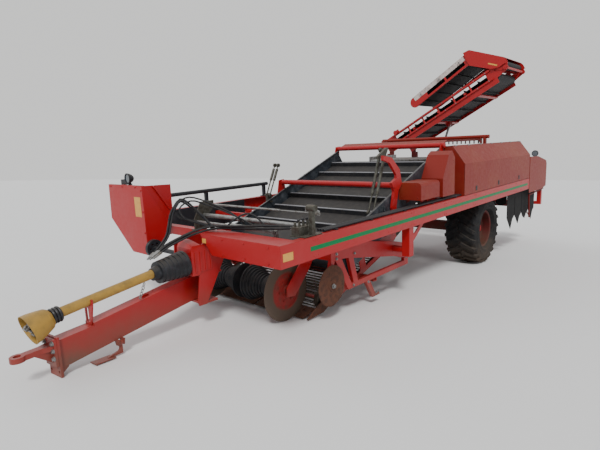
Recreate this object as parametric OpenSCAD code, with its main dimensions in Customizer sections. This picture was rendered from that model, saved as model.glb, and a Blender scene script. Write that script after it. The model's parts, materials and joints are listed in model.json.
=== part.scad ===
// Towed two-row potato harvester with a folding discharge elevator.
// X points forward to the hitch, Y to the machine's left, Z up. It is drawn level on its axle and then
// tipped nose-down about that axle, as it parks on its drawbar.

/* [Stance] */
// Nose-down angle of the parked machine, degrees
park_tilt = 3.6; // [3:0.1:4.2]
// Outer diameter of a tyre over its lugs
tyre_d = 1170; // [1100:10:1240]
// Distance between the middles of the two tyres
track_w = 2240; // [2180:10:2280]

/* [Chassis] */
// Overall width over the side channels
body_w = 3000; // [2960:10:3060]
// Height of the channels' top above the ground when level
beam_top = 1280; // [1260:5:1300]
// Height of a side channel
beam_h = 200; // [180:5:220]
// Flange width of a side channel
beam_flange = 80; // [60:5:100]
// Wall of the channels and folded members
beam_t = 8; // [6:1:10]
// Front face of the chassis ahead of the axle
front_x = 5020; // [4980:10:5060]
// Rear end of the channels behind the axle
rear_x = 2980; // [2900:10:3040]
// Height of the coloured stripe on each channel
stripe_h = 42; // [30:2:60]
// Section of the square posts
post_w = 100; // [80:5:120]
// Section of the tubes across the frame
cross_w = 100; // [80:5:110]
// Width of an inner rail
rail_w = 80; // [60:5:90]
// Thickness of the cover sheets
sheet_t = 5; // [4:0.5:6]
// Section of the axle beam
axle_w = 150; // [120:5:170]
// Diameter of a stub axle
stub_d = 70; // [60:5:80]

/* [Wheels] */
// Width of a tyre
tyre_w = 530; // [480:10:560]
// Height of a tread lug
lug_h = 30; // [20:1:40]
// Number of lugs on each half of the tread
lug_count = 22; // [18:1:26]
// Diameter of the bead seat
rim_d = 570; // [540:10:600]
// Width between the rim's lips
rim_w = 400; // [360:10:430]
// Number of wheel nuts
stud_count = 8; // [6:1:10]

/* [Drawbar] */
// Height of the drawbar tube at its rear end
bar_h = 253; // [230:1:270]
// Width of the drawbar tube
bar_w = 120; // [100:5:140]
// Wall of the drawbar tube
bar_t = 10; // [8:1:12]
// Swing of the drawbar to the left of straight ahead, degrees
bar_swing = 7.7; // [6:0.1:9]
// Distance from the drawbar pin to its front plate
bar_len = 1490; // [1440:10:1560]
// Diameter of the drawbar pin
pin_d = 60; // [50:2:70]
// Bore of the hitch eye
eye_bore = 50; // [40:1:60]
// Outer diameter of the hitch eye
eye_d = 104; // [96:2:130]
// Reach of the hitch eye ahead of the front plate
eye_reach = 248; // [220:4:320]
// Diameter of the drive shaft's guard tube
pto_d = 82; // [70:2:90]

/* [Flight conveyor] */
// Slope of the conveyor
conv_slope = 20.8; // [19:0.2:22]
// Distance between its two rollers
conv_len = 2480; // [2400:10:2540]
// Width of the trough over the side sheets
conv_w = 1850; // [1800:10:1880]
// Height of a flight above the belt
flight_h = 62; // [40:2:80]
// Pitch of the flights
flight_pitch = 370; // [320:10:400]

/* [Digger] */
// Slope of the digging web
dig_slope = 18; // [16:0.5:20]
// Distance between the digging web's rollers
dig_len = 1530; // [1480:10:1560]
// Width of the digging web
dig_w = 1560; // [1500:10:1600]
// Diameter of a web rod
rod_d = 14; // [10:1:18]
// Pitch of the web rods
rod_pitch = 50; // [44:2:60]
// Diameter of a disc coulter
disc_d = 640; // [600:10:650]
// Diameter of a guide disc
guide_d = 430; // [400:10:450]
// Diameter of a ridge roller at its ends
roller_d = 400; // [380:10:410]
// Length of a ridge roller
roller_len = 500; // [460:10:540]

/* [Hood] */
// Height of the hood's upright side
hood_h = 450; // [420:10:480]
// Length of the hood
hood_len = 3085; // [3000:5:3120]

/* [Elevator] */
// Slope of the main section, degrees
el_slope = 28.8; // [27:0.2:30]
// Distance between the main section's rollers
el_len = 2475; // [2400:5:2500]
// Width of the trough over its side sheets
el_w = 960; // [900:10:1000]
// Depth of a trough's side frame
el_depth = 320; // [300:10:340]
// Slope of the folded outer section, degrees
out_slope = 32.5; // [31:0.5:34]
// Length of the outer section's straight run
out_len = 1305; // [1200:5:1360]

/* [Hidden] */
$fn = 48;

// Colours
red = "#b3201c";
deep_red = "#7d1a1c";
black = "#22242a";
steel = "#8a8d90";
pale = "#c9bdb8";
rust = "#8a4a26";
dark_sheet = "#3c434b";
yellow = "#c99a3c";
green = "#0f7a4e";

// Clearances
seat_gap = 0.3;
run_gap = 6;
fit_gap = 0.1;
eye_play = 5;

// Places in the level frame
axle_z = tyre_d / 2;
half_w = body_w / 2;
beam_low = beam_top - beam_h;
beam_in = half_w - beam_flange;
tyre_y = track_w / 2;
rail_y = 700;
rail_low = beam_low;
rail_high = 1200;
rail_rear = -2520;
rail_front = 1000;
right_front_x = front_x - 240;
front_cross_x = 4560;
head_x = front_cross_x + cross_w / 2 + seat_gap;

// Drawbar pin, tube and front plate
bar_pin = [4950, 215, 723];
bar_base = bar_pin[2] - bar_h / 2;
bar_crown = bar_pin[2] + bar_h / 2;
bar_flat = 130;
bar_fall = 0.0937;
bar_top_fall = 0.103;
bar_step_x = bar_len - 300;
bar_step = 22;
plate_t = 20;
plate_w = 160;
plate_corner_x = bar_pin[0] + (bar_len + plate_t) * cos(bar_swing) + plate_w / 2 * sin(bar_swing);
plate_low = axle_z + (plate_corner_x * sin(park_tilt) - axle_z) / cos(park_tilt);
plate_high = plate_low + 325;
eye_z = plate_low + 246;
eye_t = 40;
foot_pin_d = 24;
foot_pivot = [985, 64, bar_base - bar_fall * (985 - bar_flat) - 32];
eye_plate_t = 22;

// Ends of the parked machine, which set the middle of its length
rear_low = 640;
nose_x = bar_pin[0] + (bar_len + plate_t + eye_reach) * cos(bar_swing) + eye_d / 2;
nose_end = nose_x * cos(park_tilt) + (eye_z + eye_t / 2 - axle_z) * sin(park_tilt);
tail_end = -rear_x * cos(park_tilt) + (rear_low - axle_z) * sin(park_tilt);
origin_x = (nose_end + tail_end) / 2;

// Headstock cheeks and gearbox
cheek_t = 14;
cheek_low_y = 0;
cheek_high_y = 430;
gearbox_y = 330;
gearbox_z = 1020;
gearbox_front = 5060;
guard_front = 5155;
side_shaft = [4960, 1000];

// Drive shaft in the drawbar's own frame ahead of the pin
pto_rear = [245, 88, 1030];
pto_front = [1620, 0, 868];
pto_tube_rear = 0.06;
pto_tube_front = 0.93;
cone_rear = [250, 88, 1003];
cone_front = [540, 66, 985];
bell_at = [1500, 8, 878];
bell_tilt = 17;

// Flight conveyor head roller, trough edge and belt
conv_edge = [1373, 1962];
conv_drop = 260;
conv_back = 100;
conv_r = 90;
conv_mid_y = 255;
conv_low_y = conv_mid_y - conv_w / 2;
conv_high_y = conv_mid_y + conv_w / 2;
belt_t = 10;
conv_head = [
  conv_edge[0] + conv_back * cos(conv_slope) - conv_drop * sin(conv_slope),
  conv_edge[1] - conv_back * sin(conv_slope) - conv_drop * cos(conv_slope)
];

// Digger pivot and web
dig_pivot = [2790, 0, 790];
dig_shaft_d = 80;
dig_mid_y = 250;
dig_r = 95;
dig_front = 1190;
dig_side_t = 10;
dig_edge = dig_w / 2 + 20;
arm_t = 40;
arm_left = conv_high_y + 20;
arm_right = conv_low_y - 20 - arm_t;
carrier = [3960, 930];
belt_strap = 50;
strap_t = 12;

// Second web behind the digger
web2_front = [2150, 600];
web2_slope = 24;
web2_len = 2380;
web2_w = 1240;
web2_r = 90;

// Discs and ridge rollers
disc_at = [4340, 600];
disc_ys = [["left", 880], ["right", -380]];
guide_at = [4060, 650];
guide_ys = [["left", arm_left + arm_t + 24], ["right", arm_right - 24]];
ridge_at = [4285, 585];
ridge_ys = [["left", 560], ["right", -60]];
axle_d = 40;

// Hood
hood_front = 1295;
hood_chamfer = 190;
hood_rise = 254;
hood_edge_y = half_w - hood_chamfer;
hood_in_y = 1186;
hood_mid = beam_top + hood_h;
hood_top = hood_mid + hood_rise;
hood_rear = hood_front - hood_len;

// Elevator
el_front = -1400;
el_base = [-1240, 2000];
el_r = 70;
el_sheet = 6;
el_low = -140;
el_back = 130;
hinge_d = 50;
knee_pin_d = 40;
knee_reach = el_len + 243;
knee_lift = 26;
knee = [
  el_base[0] + knee_reach * cos(el_slope) - knee_lift * sin(el_slope),
  el_base[1] + knee_reach * sin(el_slope) + knee_lift * cos(el_slope)
];
out_r = 55;
out_flight_h = 40;
out_start = [30, -102];
out_bend = [467, -588];
out_tip = [out_bend[0] + out_len, out_bend[1]];
out_half = 110;
out_sheet_x = el_sheet + 2;

// Lift cylinder
cyl_x = el_front - 480;
cyl_foot = [-450, 1400];
cyl_eye_u = 1150;
cyl_eye_v = -195;
cyl_eye = [
  el_base[0] + cyl_eye_u * cos(el_slope) - cyl_eye_v * sin(el_slope),
  el_base[1] + cyl_eye_u * sin(el_slope) + cyl_eye_v * cos(el_slope)
];
cyl_pin_d = 30;
cyl_d = 90;
cyl_rod_d = 45;
cyl_body = 560;

// Base forms
module park() {
  translate([-origin_x, 0, axle_z]) rotate([0, park_tilt, 0]) translate([0, 0, -axle_z]) children();
}

module both_sides() {
  children();
  mirror([0, 1, 0]) children();
}

module bar_between(from, to, d) {
  run = to - from;
  reach = norm(run);
  translate(from) rotate([0, acos(run[2] / reach), atan2(run[1], run[0])]) cylinder(h = reach, d = d);
}

module along(from, to) {
  run = to - from;
  translate(from) rotate([0, acos(run[2] / norm(run)), atan2(run[1], run[0])]) children();
}

module round_x(low, high, at, d) {
  translate([low, at[0], at[1]]) rotate([0, 90, 0]) cylinder(h = high - low, d = d);
}

module round_y(at, low, high, d) {
  translate([at[0], low, at[1]]) rotate([-90, 0, 0]) cylinder(h = high - low, d = d);
}

module plate_xz(low, high) {
  translate([0, high, 0]) rotate([90, 0, 0]) linear_extrude(high - low) children();
}

module plate_yz(low, high) {
  translate([low, 0, 0]) rotate([90, 0, 90]) linear_extrude(high - low) children();
}

module block(low, high) {
  translate(low) cube(high - low);
}

module tube_x(low, high, t) {
  difference() {
    block(low, high);
    block(low + [-1, t, t], high + [1, -t, -t]);
  }
}

module tube_y(low, high, t) {
  difference() {
    block(low, high);
    block(low + [t, -1, t], high + [-t, 1, -t]);
  }
}

module loop_face(reach, r) {
  circle(r = r);
  translate([reach, 0]) circle(r = r);
  translate([0, -r]) square([reach, 2 * r]);
}

module loop_band(reach, r, t) {
  difference() {
    loop_face(reach, r + t);
    loop_face(reach, r);
  }
}

module capsule(from, to, r) {
  run = to - from;
  translate(from) rotate(atan2(run[1], run[0])) loop_face(norm(run), r);
}

// Hoses swept along a smooth curve through their points
function unit(v) = v / norm(v);
function ease(a, b, c, d, t) =
  (2 * b + (c - a) * t + (2 * a - 5 * b + 4 * c - d) * t * t + (3 * b - a - 3 * c + d) * t * t * t) / 2;
function hose_path(p, steps) = concat(
  [for (i = [0:len(p) - 2], k = [0:steps - 1])
    ease(p[max(i - 1, 0)], p[i], p[i + 1], p[min(i + 2, len(p) - 1)], k / steps)],
  [p[len(p) - 1]]);

module hose(points, d, up) {
  sides = 8;
  path = hose_path(points, 3);
  last = len(path) - 1;
  rings = [for (i = [0:last])
    let (
      way = unit(path[min(i + 1, last)] - path[max(i - 1, 0)]),
      a = unit(cross(way, up)),
      b = cross(a, way)
    )
    for (k = [0:sides - 1]) path[i] + d / 2 * (cos(k * 360 / sides) * a + sin(k * 360 / sides) * b)];
  walls = [for (i = [0:last - 1], k = [0:sides - 1], half = [0, 1])
    let (p = i * sides + k, q = i * sides + (k + 1) % sides)
    half == 0 ? [p, q + sides, p + sides] : [p, q, q + sides]];
  polyhedron(rings, concat(
    [[for (k = [sides - 1:-1:0]) k]], walls, [[for (k = [0:sides - 1]) last * sides + k]]), 4);
}

// Chassis
module channel_face() {
  difference() {
    translate([beam_in, beam_low]) square([beam_flange, beam_h]);
    translate([beam_in - 1, beam_low + beam_t])
      square([beam_flange + 1 - beam_t, beam_h - 2 * beam_t]);
  }
}

module side_post() {
  low = dig_pivot[2] - 70;
  difference() {
    block([dig_pivot[0] - post_w / 2, half_w - post_w - 20, low],
      [dig_pivot[0] + post_w / 2, half_w - 20, beam_low + beam_t]);
    block([dig_pivot[0] - post_w / 2 + beam_t, half_w - post_w - 20 + beam_t, low - 1],
      [dig_pivot[0] + post_w / 2 - beam_t, half_w - 20 - beam_t, beam_low]);
  }
  plate_xz(half_w - 76, half_w - 64)
    polygon([[dig_pivot[0] - post_w / 2 + 2, 820], [dig_pivot[0] - post_w / 2 + 2, 905],
      [2440, beam_low + 4], [2350, beam_low + 4]]);
}

module cross_member(x, width) {
  tube_y([x - width / 2, -half_w + beam_t - 1, beam_low + beam_t],
    [x + width / 2, half_w - beam_t + 1, beam_low + beam_t + width], beam_t);
}

module conveyor_hangers() {
  for (y = [conv_low_y - beam_t - seat_gap, conv_high_y + seat_gap], x = [1870, 1930]) {
    block([x - 4, y, beam_low + beam_t + rail_w - 1], [x + 56, y + beam_t, beam_top + 50]);
  }
  outrigger_z = [1110, 1170];
  tube_y([3370, conv_high_y + seat_gap, outrigger_z[0]], [3430, half_w - beam_t + 1, outrigger_z[1]], 6);
  tube_y([3370, -half_w + beam_t - 1, outrigger_z[0]], [3430, conv_low_y - seat_gap, outrigger_z[1]], 6);
}

module chassis_frame() {
  color(red) park() {
    plate_yz(-rear_x, front_x - sheet_t - seat_gap) channel_face();
    mirror([0, 1, 0]) plate_yz(-rear_x, right_front_x) channel_face();
    both_sides() {
      side_post();
      block([-rear_x, half_w - 140, rear_low], [-rear_x + 80, half_w - 60, beam_low + beam_t]);
      tube_x([rail_rear, rail_y, rail_low], [rail_front, rail_y + rail_w, rail_high], beam_t);
      tube_y([850, rail_y + rail_w - 1, beam_low + beam_t], [950, half_w - beam_t + 1, beam_low + 108],
        beam_t);
      for (side = [-1, 1]) {
        plate_xz(rail_y + rail_w / 2 - 6, rail_y + rail_w / 2 + 6)
          polygon([[side * 77, axle_z + 60], [side * 77, rail_low + 1], [side * 520, rail_low + 1]]);
      }
    }
    cross_member(front_cross_x, cross_w);
    cross_member(1900, rail_w);
    conveyor_hangers();
    for (x = [-1000, -1320, -2440]) {
      cross_member(x, rail_w);
    }
    tube_y([-rear_x, -half_w + beam_t - 1, beam_low + beam_t], [-rear_x + 80, half_w - beam_t + 1,
      beam_low + 90],
      beam_t);
    block([-rear_x, -half_w + 60, rear_low], [-rear_x + 80, half_w - 60, 700]);
    round_y([dig_pivot[0], dig_pivot[2]], -half_w + 30, half_w - 30, dig_shaft_d);
  }
}

module axle() {
  color(deep_red) park() {
    difference() {
      block([-axle_w / 2, -rail_y - rail_w, axle_z - axle_w / 2], [axle_w / 2, rail_y + rail_w,
        axle_z + axle_w / 2]);
      block([-axle_w / 2 + 10, -rail_y, axle_z - axle_w / 2 + 10], [axle_w / 2 - 10, rail_y,
        axle_z + axle_w / 2 - 10]);
    }
    both_sides() {
      block([-60, rail_y, axle_z + axle_w / 2 - 1], [60, rail_y + rail_w, rail_low - seat_gap]);
      round_y([0, axle_z], rail_y + rail_w - 1, tyre_y - 110, 130);
      round_y([0, axle_z], tyre_y - 120, tyre_y + 104, stub_d);
      round_y([0, axle_z], tyre_y + 84, tyre_y + 110, stub_d + 30);
    }
  }
}

// Headstock
module cheek_face() {
  polygon([[head_x, beam_low + 108], [head_x, beam_low], [4765, 985], [5010,
    bar_base - run_gap - plate_t - 4],
    [5100, bar_base - run_gap - plate_t - 4], [5115, 605], [5074, 865], [5066, 1150], [4980,
      beam_low + 108]]);
}

module headstock() {
  clev_low = bar_base - run_gap;
  clev_high = bar_crown + run_gap;
  color(red) park() {
    difference() {
      for (y = [cheek_low_y, cheek_high_y - cheek_t]) {
        plate_xz(y, y + cheek_t) cheek_face();
      }
      round_y([side_shaft[0], side_shaft[1]], cheek_low_y - 1, cheek_low_y + cheek_t + 1, 64);
    }
    for (z = [[clev_low - plate_t, 4880], [clev_high, 4810]]) {
      block([z[1], cheek_low_y + 1, z[0]], [5070, cheek_high_y - 1, z[0] + plate_t]);
    }
    block([head_x, cheek_low_y, beam_low + 10], [head_x + 12, cheek_high_y, beam_low + 108]);
    translate([bar_pin[0], bar_pin[1], clev_low - plate_t - 10])
      cylinder(h = clev_high - clev_low + 2 * plate_t, d = pin_d);
    translate([bar_pin[0], bar_pin[1], clev_low - plate_t - 14]) cylinder(h = 15, d = pin_d + 30);
  }
}

module front_panel() {
  face_low = 580;
  face_top = 407;
  ledge_x = 4780;
  color(red) park() {
    plate_yz(front_x - sheet_t, front_x)
      polygon([[face_top, beam_top], [face_low, beam_low], [half_w, beam_low], [half_w, beam_top]]);
    block([ledge_x, face_top + 5, beam_top - sheet_t], [front_x - 1, beam_in - seat_gap, beam_top]);
    block([front_x - 60, face_low + 5, beam_low], [front_x - 1, beam_in - seat_gap, beam_low + sheet_t]);
    for (y = [face_low + 30, 1100]) {
      plate_xz(y, y + 8)
        polygon([[head_x, beam_low + 12], [head_x, beam_top - sheet_t - 60], [ledge_x,
          beam_top - sheet_t + 1],
          [front_x - sheet_t + 1, beam_top - sheet_t + 1], [front_x - sheet_t + 1, beam_low + 40],
          [4800, beam_low + 12]]);
    }
  }
}

module side_stripes() {
  mid = beam_low + beam_h / 2;
  color(green) park() both_sides()
    block([-1700, half_w, mid - stripe_h / 2], [4640, half_w + 1, mid + stripe_h / 2]);
}

// Right front shield
module shield_side() {
  polygon([[5030, 930], [5030, 1715], [5000, 1715], [4730, 1275], [4765, 1090], [5000, 913]]);
}

module right_shield() {
  inner = -600;
  outer = -half_w + 100;
  color(red) park() {
    difference() {
      intersection() {
        plate_xz(outer, inner) shield_side();
        plate_yz(4700, 5040)
          polygon([[inner, 900], [inner, 1715], [outer + 15, 1715], [outer, 1300], [-900, 900]]);
      }
      plate_xz(outer + sheet_t, inner - sheet_t)
        polygon([[5025, 880], [5025, 1710], [5003, 1710], [4700, 1218], [4700, 1080], [4990, 880]]);
    }
    plate_xz(inner - 25, inner - 25 + sheet_t)
      polygon([[5010, 1711], [4655, 1700], [4655, beam_top + 60], [4745, beam_top + 5]]);
    plate_xz(inner - 21, inner + 9)
      polygon([[4880, 1706], [4892, 1694], [4712, 1418], [4700, 1430]]);
    block([4700, -beam_in + seat_gap, 1240], [4800, outer + 8, 1330]);
  }
}

module right_rail() {
  rail_at = [-half_w + 40, 1480];
  color(black) park() {
    round_x(2300, 4760, rail_at, 56);
    for (x = [2380, 3550, 4690]) {
      block([x - 25, rail_at[0] - 20, beam_top + seat_gap], [x + 25, rail_at[0] + 20, rail_at[1]]);
      block([x - 55, rail_at[0] - 38, beam_top + seat_gap], [x + 55, rail_at[0] + 30, beam_top + 12]);
    }
    plate_xz(-beam_in + seat_gap, -beam_in + sheet_t + seat_gap)
      difference() {
        polygon([[2860, beam_low - 60], [2860, beam_top], [4500, beam_top], [4500, beam_low + 8],
          [4300, beam_low - 130], [2960, beam_low - 130]]);
        translate([3360, 1100]) square([80, 80]);
      }
  }
}

module gearbox() {
  back = 4840;
  low = bar_crown + run_gap + plate_t + seat_gap;
  at = [gearbox_y, gearbox_z];
  color(black) park() {
    difference() {
      block([back, gearbox_y - 80, low], [gearbox_front, gearbox_y + 80, 1076]);
      for (x = [back - 1, gearbox_front - 29]) {
        block([x, gearbox_y - 81, 1040], [x + 30, gearbox_y + 81, 1077]);
      }
    }
    round_x(gearbox_front - 1, gearbox_front + 14, at, 150);
    round_x(gearbox_front, gearbox_front + 66, at, 50);
    difference() {
      round_x(gearbox_front + 40, gearbox_front + 92, at, 96);
      block([gearbox_front + 62, gearbox_y - 50, gearbox_z - 24], [gearbox_front + 93, gearbox_y + 50,
        gearbox_z + 24]);
    }
    round_y(side_shaft, -600, gearbox_y - 79, 50);
    difference() {
      round_y(side_shaft, -600, -556, 200);
      round_y(side_shaft, -601, -588, 150);
      for (a = [0:60:300]) {
        translate([side_shaft[0] + 55 * cos(a), 0, side_shaft[1] + 55 * sin(a)])
          round_y([0, 0], -601, -540, 26);
      }
    }
  }
}

module guard_face(inset) {
  wall = cheek_high_y + seat_gap + sheet_t;
  polygon([[200 + inset, bar_crown + 30 - 10 * inset], [200 + inset, 1210 - inset], [262, 1210 - inset],
    [wall - inset, 1174 - inset / 2], [wall - inset, bar_crown + 30 - 10 * inset]]);
}

module guard_profile() {
  polygon([[5044, bar_crown + 50], [5082, bar_crown + 30], [guard_front, bar_crown + 20],
    [guard_front, 1150], [5120, 1205], [5082, 1225], [5044, 1225]]);
}

module gearbox_guard() {
  wall = cheek_high_y + seat_gap;
  color(red) park() {
    difference() {
      intersection() {
        plate_yz(4700, guard_front) guard_face(0);
        plate_xz(190, 470) guard_profile();
      }
      intersection() {
        plate_yz(4690, guard_front) guard_face(sheet_t);
        plate_xz(190, 470) translate([-sheet_t, -sheet_t]) guard_profile();
      }
      round_x(5070, guard_front + 10, [gearbox_y - 20, gearbox_z - 20], 220);
    }
    plate_xz(wall, wall + sheet_t)
      polygon([[5060, bar_crown + 52], [4925, bar_crown + 60], [4925, 1120], [4990, 1172], [5060, 1172]]);
    for (x = [4930, 4990, 5050, 5110]) {
      block([x, wall + sheet_t - 1, bar_crown + 64], [x + 12, wall + sheet_t + 10, 1115]);
    }
  }
}

// Conveying
module in_conveyor() {
  translate([conv_head[0], 0, conv_head[1]]) rotate([0, conv_slope, 0]) children();
}

module conveyor_sides() {
  color(dark_sheet) park() in_conveyor() {
    for (side = [[conv_low_y, 0, [60, 700, 1600, 1980]], [conv_high_y - sheet_t, 1, [60, 1600, 1980]]]) {
      y = side[0];
      plate_xz(y, y + sheet_t)
        polygon([[-conv_back, conv_drop], [conv_len - 40, conv_drop], [conv_len + 100, 60],
          [conv_len + 60, -130], [-60, -130], [-160, 40]]);
      block([-conv_back, y - 22 * side[1], conv_drop - 6], [conv_len - 40,
        y + sheet_t + 22 * (1 - side[1]), conv_drop]);
      for (x = side[2]) {
        block([x, y + (side[1] == 1 ? sheet_t - 1 : -29), 40], [x + 6, y + (side[1] == 1 ? 30 : 1),
          conv_drop - 30]);
      }
    }
    for (x = [0, conv_len]) {
      round_y([x, 0], conv_low_y + 1, conv_high_y - 1, 60);
      for (y = [conv_low_y + 60, conv_mid_y, conv_high_y - 100]) {
        round_y([x, 0], y, y + 40, 2 * conv_r - 0.6);
      }
    }
    for (x = [600, 1240, 1880]) {
      round_y([x, conv_r - 30], conv_low_y + 1, conv_high_y - 1, 59.4);
    }
  }
}

module flight_belt() {
  flights = floor(conv_len / flight_pitch) - 1;
  root = conv_r + belt_t / 2;
  color(black) park() in_conveyor()
    plate_xz(conv_low_y + 30, conv_high_y - 30) {
      loop_band(conv_len, conv_r, belt_t);
      for (i = [0:flights], side = [0, 1]) {
        x = 150 + i * flight_pitch;
        mirror([0, side, 0])
          polygon([[x - 26, root], [x + 20, root], [x + 12, root + flight_h + 4], [x - 12,
            root + flight_h + 4]]);
      }
    }
}

module cross_tubes() {
  arm_y = conv_high_y + 12;
  color(red) park() {
    round_y([1350, 2000], -670, 1225, 75);
    round_y([2750, 1560], -640, arm_y + 40, 70);
    for (y = [conv_low_y - 12 - seat_gap, conv_high_y + seat_gap]) {
      plate_xz(y, y + 12) polygon([[1313, 1900], [1450, 1850], [1400, 2030], [1313, 2030]]);
    }
    plate_xz(conv_low_y - 12 - seat_gap, conv_low_y - seat_gap)
      polygon([[2660, 1380], [2860, 1310], [2800, 1590], [2700, 1600]]);
    plate_xz(arm_y, arm_y + 34) difference() {
      polygon([[2690, 1240], [2770, 1240], [2790, 1290], [2745, 1480], [2800, 1590], [2690, 1640],
        [2690, 1680],
        [2840, 1830], [2985, 1870], [2985, 1925], [2800, 1895], [2610, 1740], [2560, 1560], [2640, 1490],
        [2690, 1300]]);
      translate([2750, 1560]) circle(d = 70);
    }
    block([2690, conv_high_y + seat_gap, 1240], [2760, arm_y + 1, 1300]);
  }
}

// pairs of adjustable struts: y, lower end, upper end
strut_pairs = [[1084, [3047, 1254], [2765, 1984]], [-690, [3020, 1390], [2820, 1810]]];

module strut(y, low, high) {
  way = (high - low) / norm(high - low);
  knuckle = low + way * 230;
  bar_between([low[0], y, low[1]], [knuckle[0], y, knuckle[1]], 20);
  bar_between([knuckle[0], y, knuckle[1]], [high[0] - way[0] * 60, y, high[1] - way[1] * 60], 38);
  for (at = [low, high]) {
    round_y(at, y - 14, y + 14, 54);
  }
  bar_between([high[0] - way[0] * 70, y, high[1] - way[1] * 70], [high[0], y, high[1]], 16);
}

module tension_struts() {
  color(steel) park() {
    for (pair = strut_pairs, shift = [-34, 34]) {
      strut(pair[0] + shift, pair[1], pair[2]);
    }
    for (pair = strut_pairs) {
      round_y(pair[1], pair[0] - 60, pair[0] > 0 ? conv_high_y - sheet_t - seat_gap : pair[0] + 60, 24);
      round_y(pair[2], pair[0] - 60, pair[0] + 60, 24);
    }
    block([3010, conv_low_y + sheet_t + seat_gap, 1290], [3030, strut_pairs[1][0] + 80, 1310]);
    plate_xz(conv_low_y - 40, conv_low_y - seat_gap) polygon([[2970, 1250], [3060, 1220], [3050, 1420],
      [2990, 1420]]);
    plate_xz(1120, 1150) polygon([[2745, 2010], [2785, 2010], [2985, 1915], [2985, 1885], [2800, 1920]]);
  }
}

module box_face(inset) {
  inner = conv_high_y + seat_gap - inset;
  outer = half_w - 15 - inset;
  polygon([[inner, beam_top + 80 + inset], [inner, beam_top + 295 - inset], [outer - 40,
    beam_top + 295 - inset],
    [outer - 12, beam_top + 283 - inset], [outer, beam_top + 255 - inset], [outer, beam_top + 80 + inset]]);
}

module guard_boxes() {
  inner = conv_high_y + seat_gap;
  outer = half_w - 15;
  color(red) park() {
    difference() {
      plate_yz(2060, 2560) box_face(0);
      plate_yz(2065, 2555) box_face(sheet_t);
    }
    difference() {
      plate_xz(inner, outer)
        polygon([[1600, beam_top + 60], [1960, beam_top + 60], [1960, beam_top + 300],
          [1790, beam_top + 600], [1690, beam_top + 650], [1600, beam_top + 560]]);
      plate_xz(inner - 1, outer - sheet_t)
        polygon([[1605, beam_top + 65], [1955, beam_top + 65], [1955, beam_top + 298],
          [1786, beam_top + 595], [1691, beam_top + 643], [1605, beam_top + 557]]);
    }
    for (x = [1650, 2300]) {
      block([x, inner, beam_top + 20], [x + 60, inner + 8, beam_top + 120]);
    }
  }
}

// Valves, rods and hoses
module valve_stand() {
  foot = beam_top + seat_gap;
  color(steel) park() {
    block([4530, 1430, foot], [4570, 1470, 1530]);
    round_y([4550, 1530], 1404.3, 1495, 60);
    block([4440, 1290, foot], [4680, 1475, foot + 10]);
    for (i = [0:3]) {
      block([4452 + i * 56, 1305, foot + 9], [4500 + i * 56, 1400, foot + 86]);
      translate([4476 + i * 56, 1330, foot + 80]) cylinder(h = 45, d = 24);
      translate([4476 + i * 56, 1375, foot + 80]) cylinder(h = 70, d = 12);
    }
    plate_xz(-230, -214)
      polygon([[4470, 1190], [4640, 1190], [4640, 1310], [4540, 1500], [4360, 1500], [4360, 1420],
        [4460, 1330]]);
    block([4430, -260, beam_low + 108.3], [4660, -180, beam_low + 120]);
  }
}

module guide_rods() {
  rod = [4400, 1455];
  tube = [4500, 1345];
  ram = [4600, 1285];
  color(steel) park() {
    round_y(rod, -213.7, 900, 24);
    round_y(rod, 880, 1420, 14);
    round_y(tube, -213.7, 1304.7, 48);
    round_y(ram, -213.7, 380, 26);
    round_y(ram, 375, 1020, 54);
    round_y(ram, 1015, 1060, 40);
    plate_xz(1392, 1404) polygon([[4380, 1430], [4380, 1480], [4540, 1545], [4570, 1545], [4570, 1500]]);
    block([4575, 1020, beam_low + 108.3], [4625, 1045, 1290]);
  }
}

// hoses: points, diameter, direction that the curve never follows
module hose_bundle() {
  z_way = [0, 0, 1];
  fan = [[0, 0], [26, 8], [6, 30], [34, 36], [58, 14]];
  color(black) park() {
    for (at = fan) {
      a = at[0];
      b = at[1];
      hose([[4550 + a, 1300, 1340 + b * 0.4], [4640 + a, 1120, 1325 + b], [4720, 860 + a, 1312 + b],
        [4780 + b, 640 + a, 1306 + b], [4870 + b, 450 + a, 1303 + b], [5010, 316 + a, 1268 + b],
        [5170, 300 + a, 1236 + b * 0.8], [5330, 290 + a, 1190 + b * 0.7], [5440, 285 + a, 1140 + b * 0.5]],
        20, z_way);
    }
    hose([[4600, 600, 1321], [4700, 500, 1450], [4880, 260, 1590], [5040, 240, 1620], [5170, 235, 1540],
      [5130, 250, 1440], [4990, 280, 1390], [4900, 360, 1340], [4870, 440, 1300]], 16, [1, 2, 0]);
    hose([[4600, 720, 1321], [4700, 520, 1430], [4860, 320, 1540], [5010, 290, 1590], [5140, 280, 1530],
      [5100, 300, 1430], [4960, 330, 1360], [4880, 400, 1315], [4850, 480, 1302]], 16, [1, 2, 0]);
    hose([[4600, 900, 1322], [4620, 780, 1420], [4660, 680, 1440], [4740, 590, 1380], [4824, 546, 1303]], 18,
      [1, 0, 0]);
    for (at = [[0, 0], [24, 12], [10, 34]]) {
      a = at[0];
      b = at[1];
      hose([[4870 + b, 450 + a / 2, 1304 + b], [4920, 330 + b, 1420], [5000, 250 + b, 1530 + a],
        [5090, 215 + b, 1590 + a], [5175 + a, 212 + b, 1500], [5215 + a, 214 + b, 1390],
        [5262 + a, 226 + b, 1280], [5370 + a, 244 + b, 1185], [5450 + a, 262 + b, 1140]], 18, [0, 1, 0]);
    }
  }
}

module side_pipes() {
  color(black) park() {
    for (i = [0:2]) {
      hose([[4380, 1440 - 34 * i, beam_top + 18], [3500, 1450 - 34 * i, beam_top + 18],
        [2400, 1450 - 34 * i, beam_top + 18], [1300, 1450 - 34 * i, beam_top + 18]], 24, [0, 0, 1]);
    }
    for (x = [1500, 2200, 2900, 3600, 4200]) {
      block([x, 1365, beam_top + seat_gap], [x + 30, 1475, beam_top + 10]);
    }
  }
}

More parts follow.
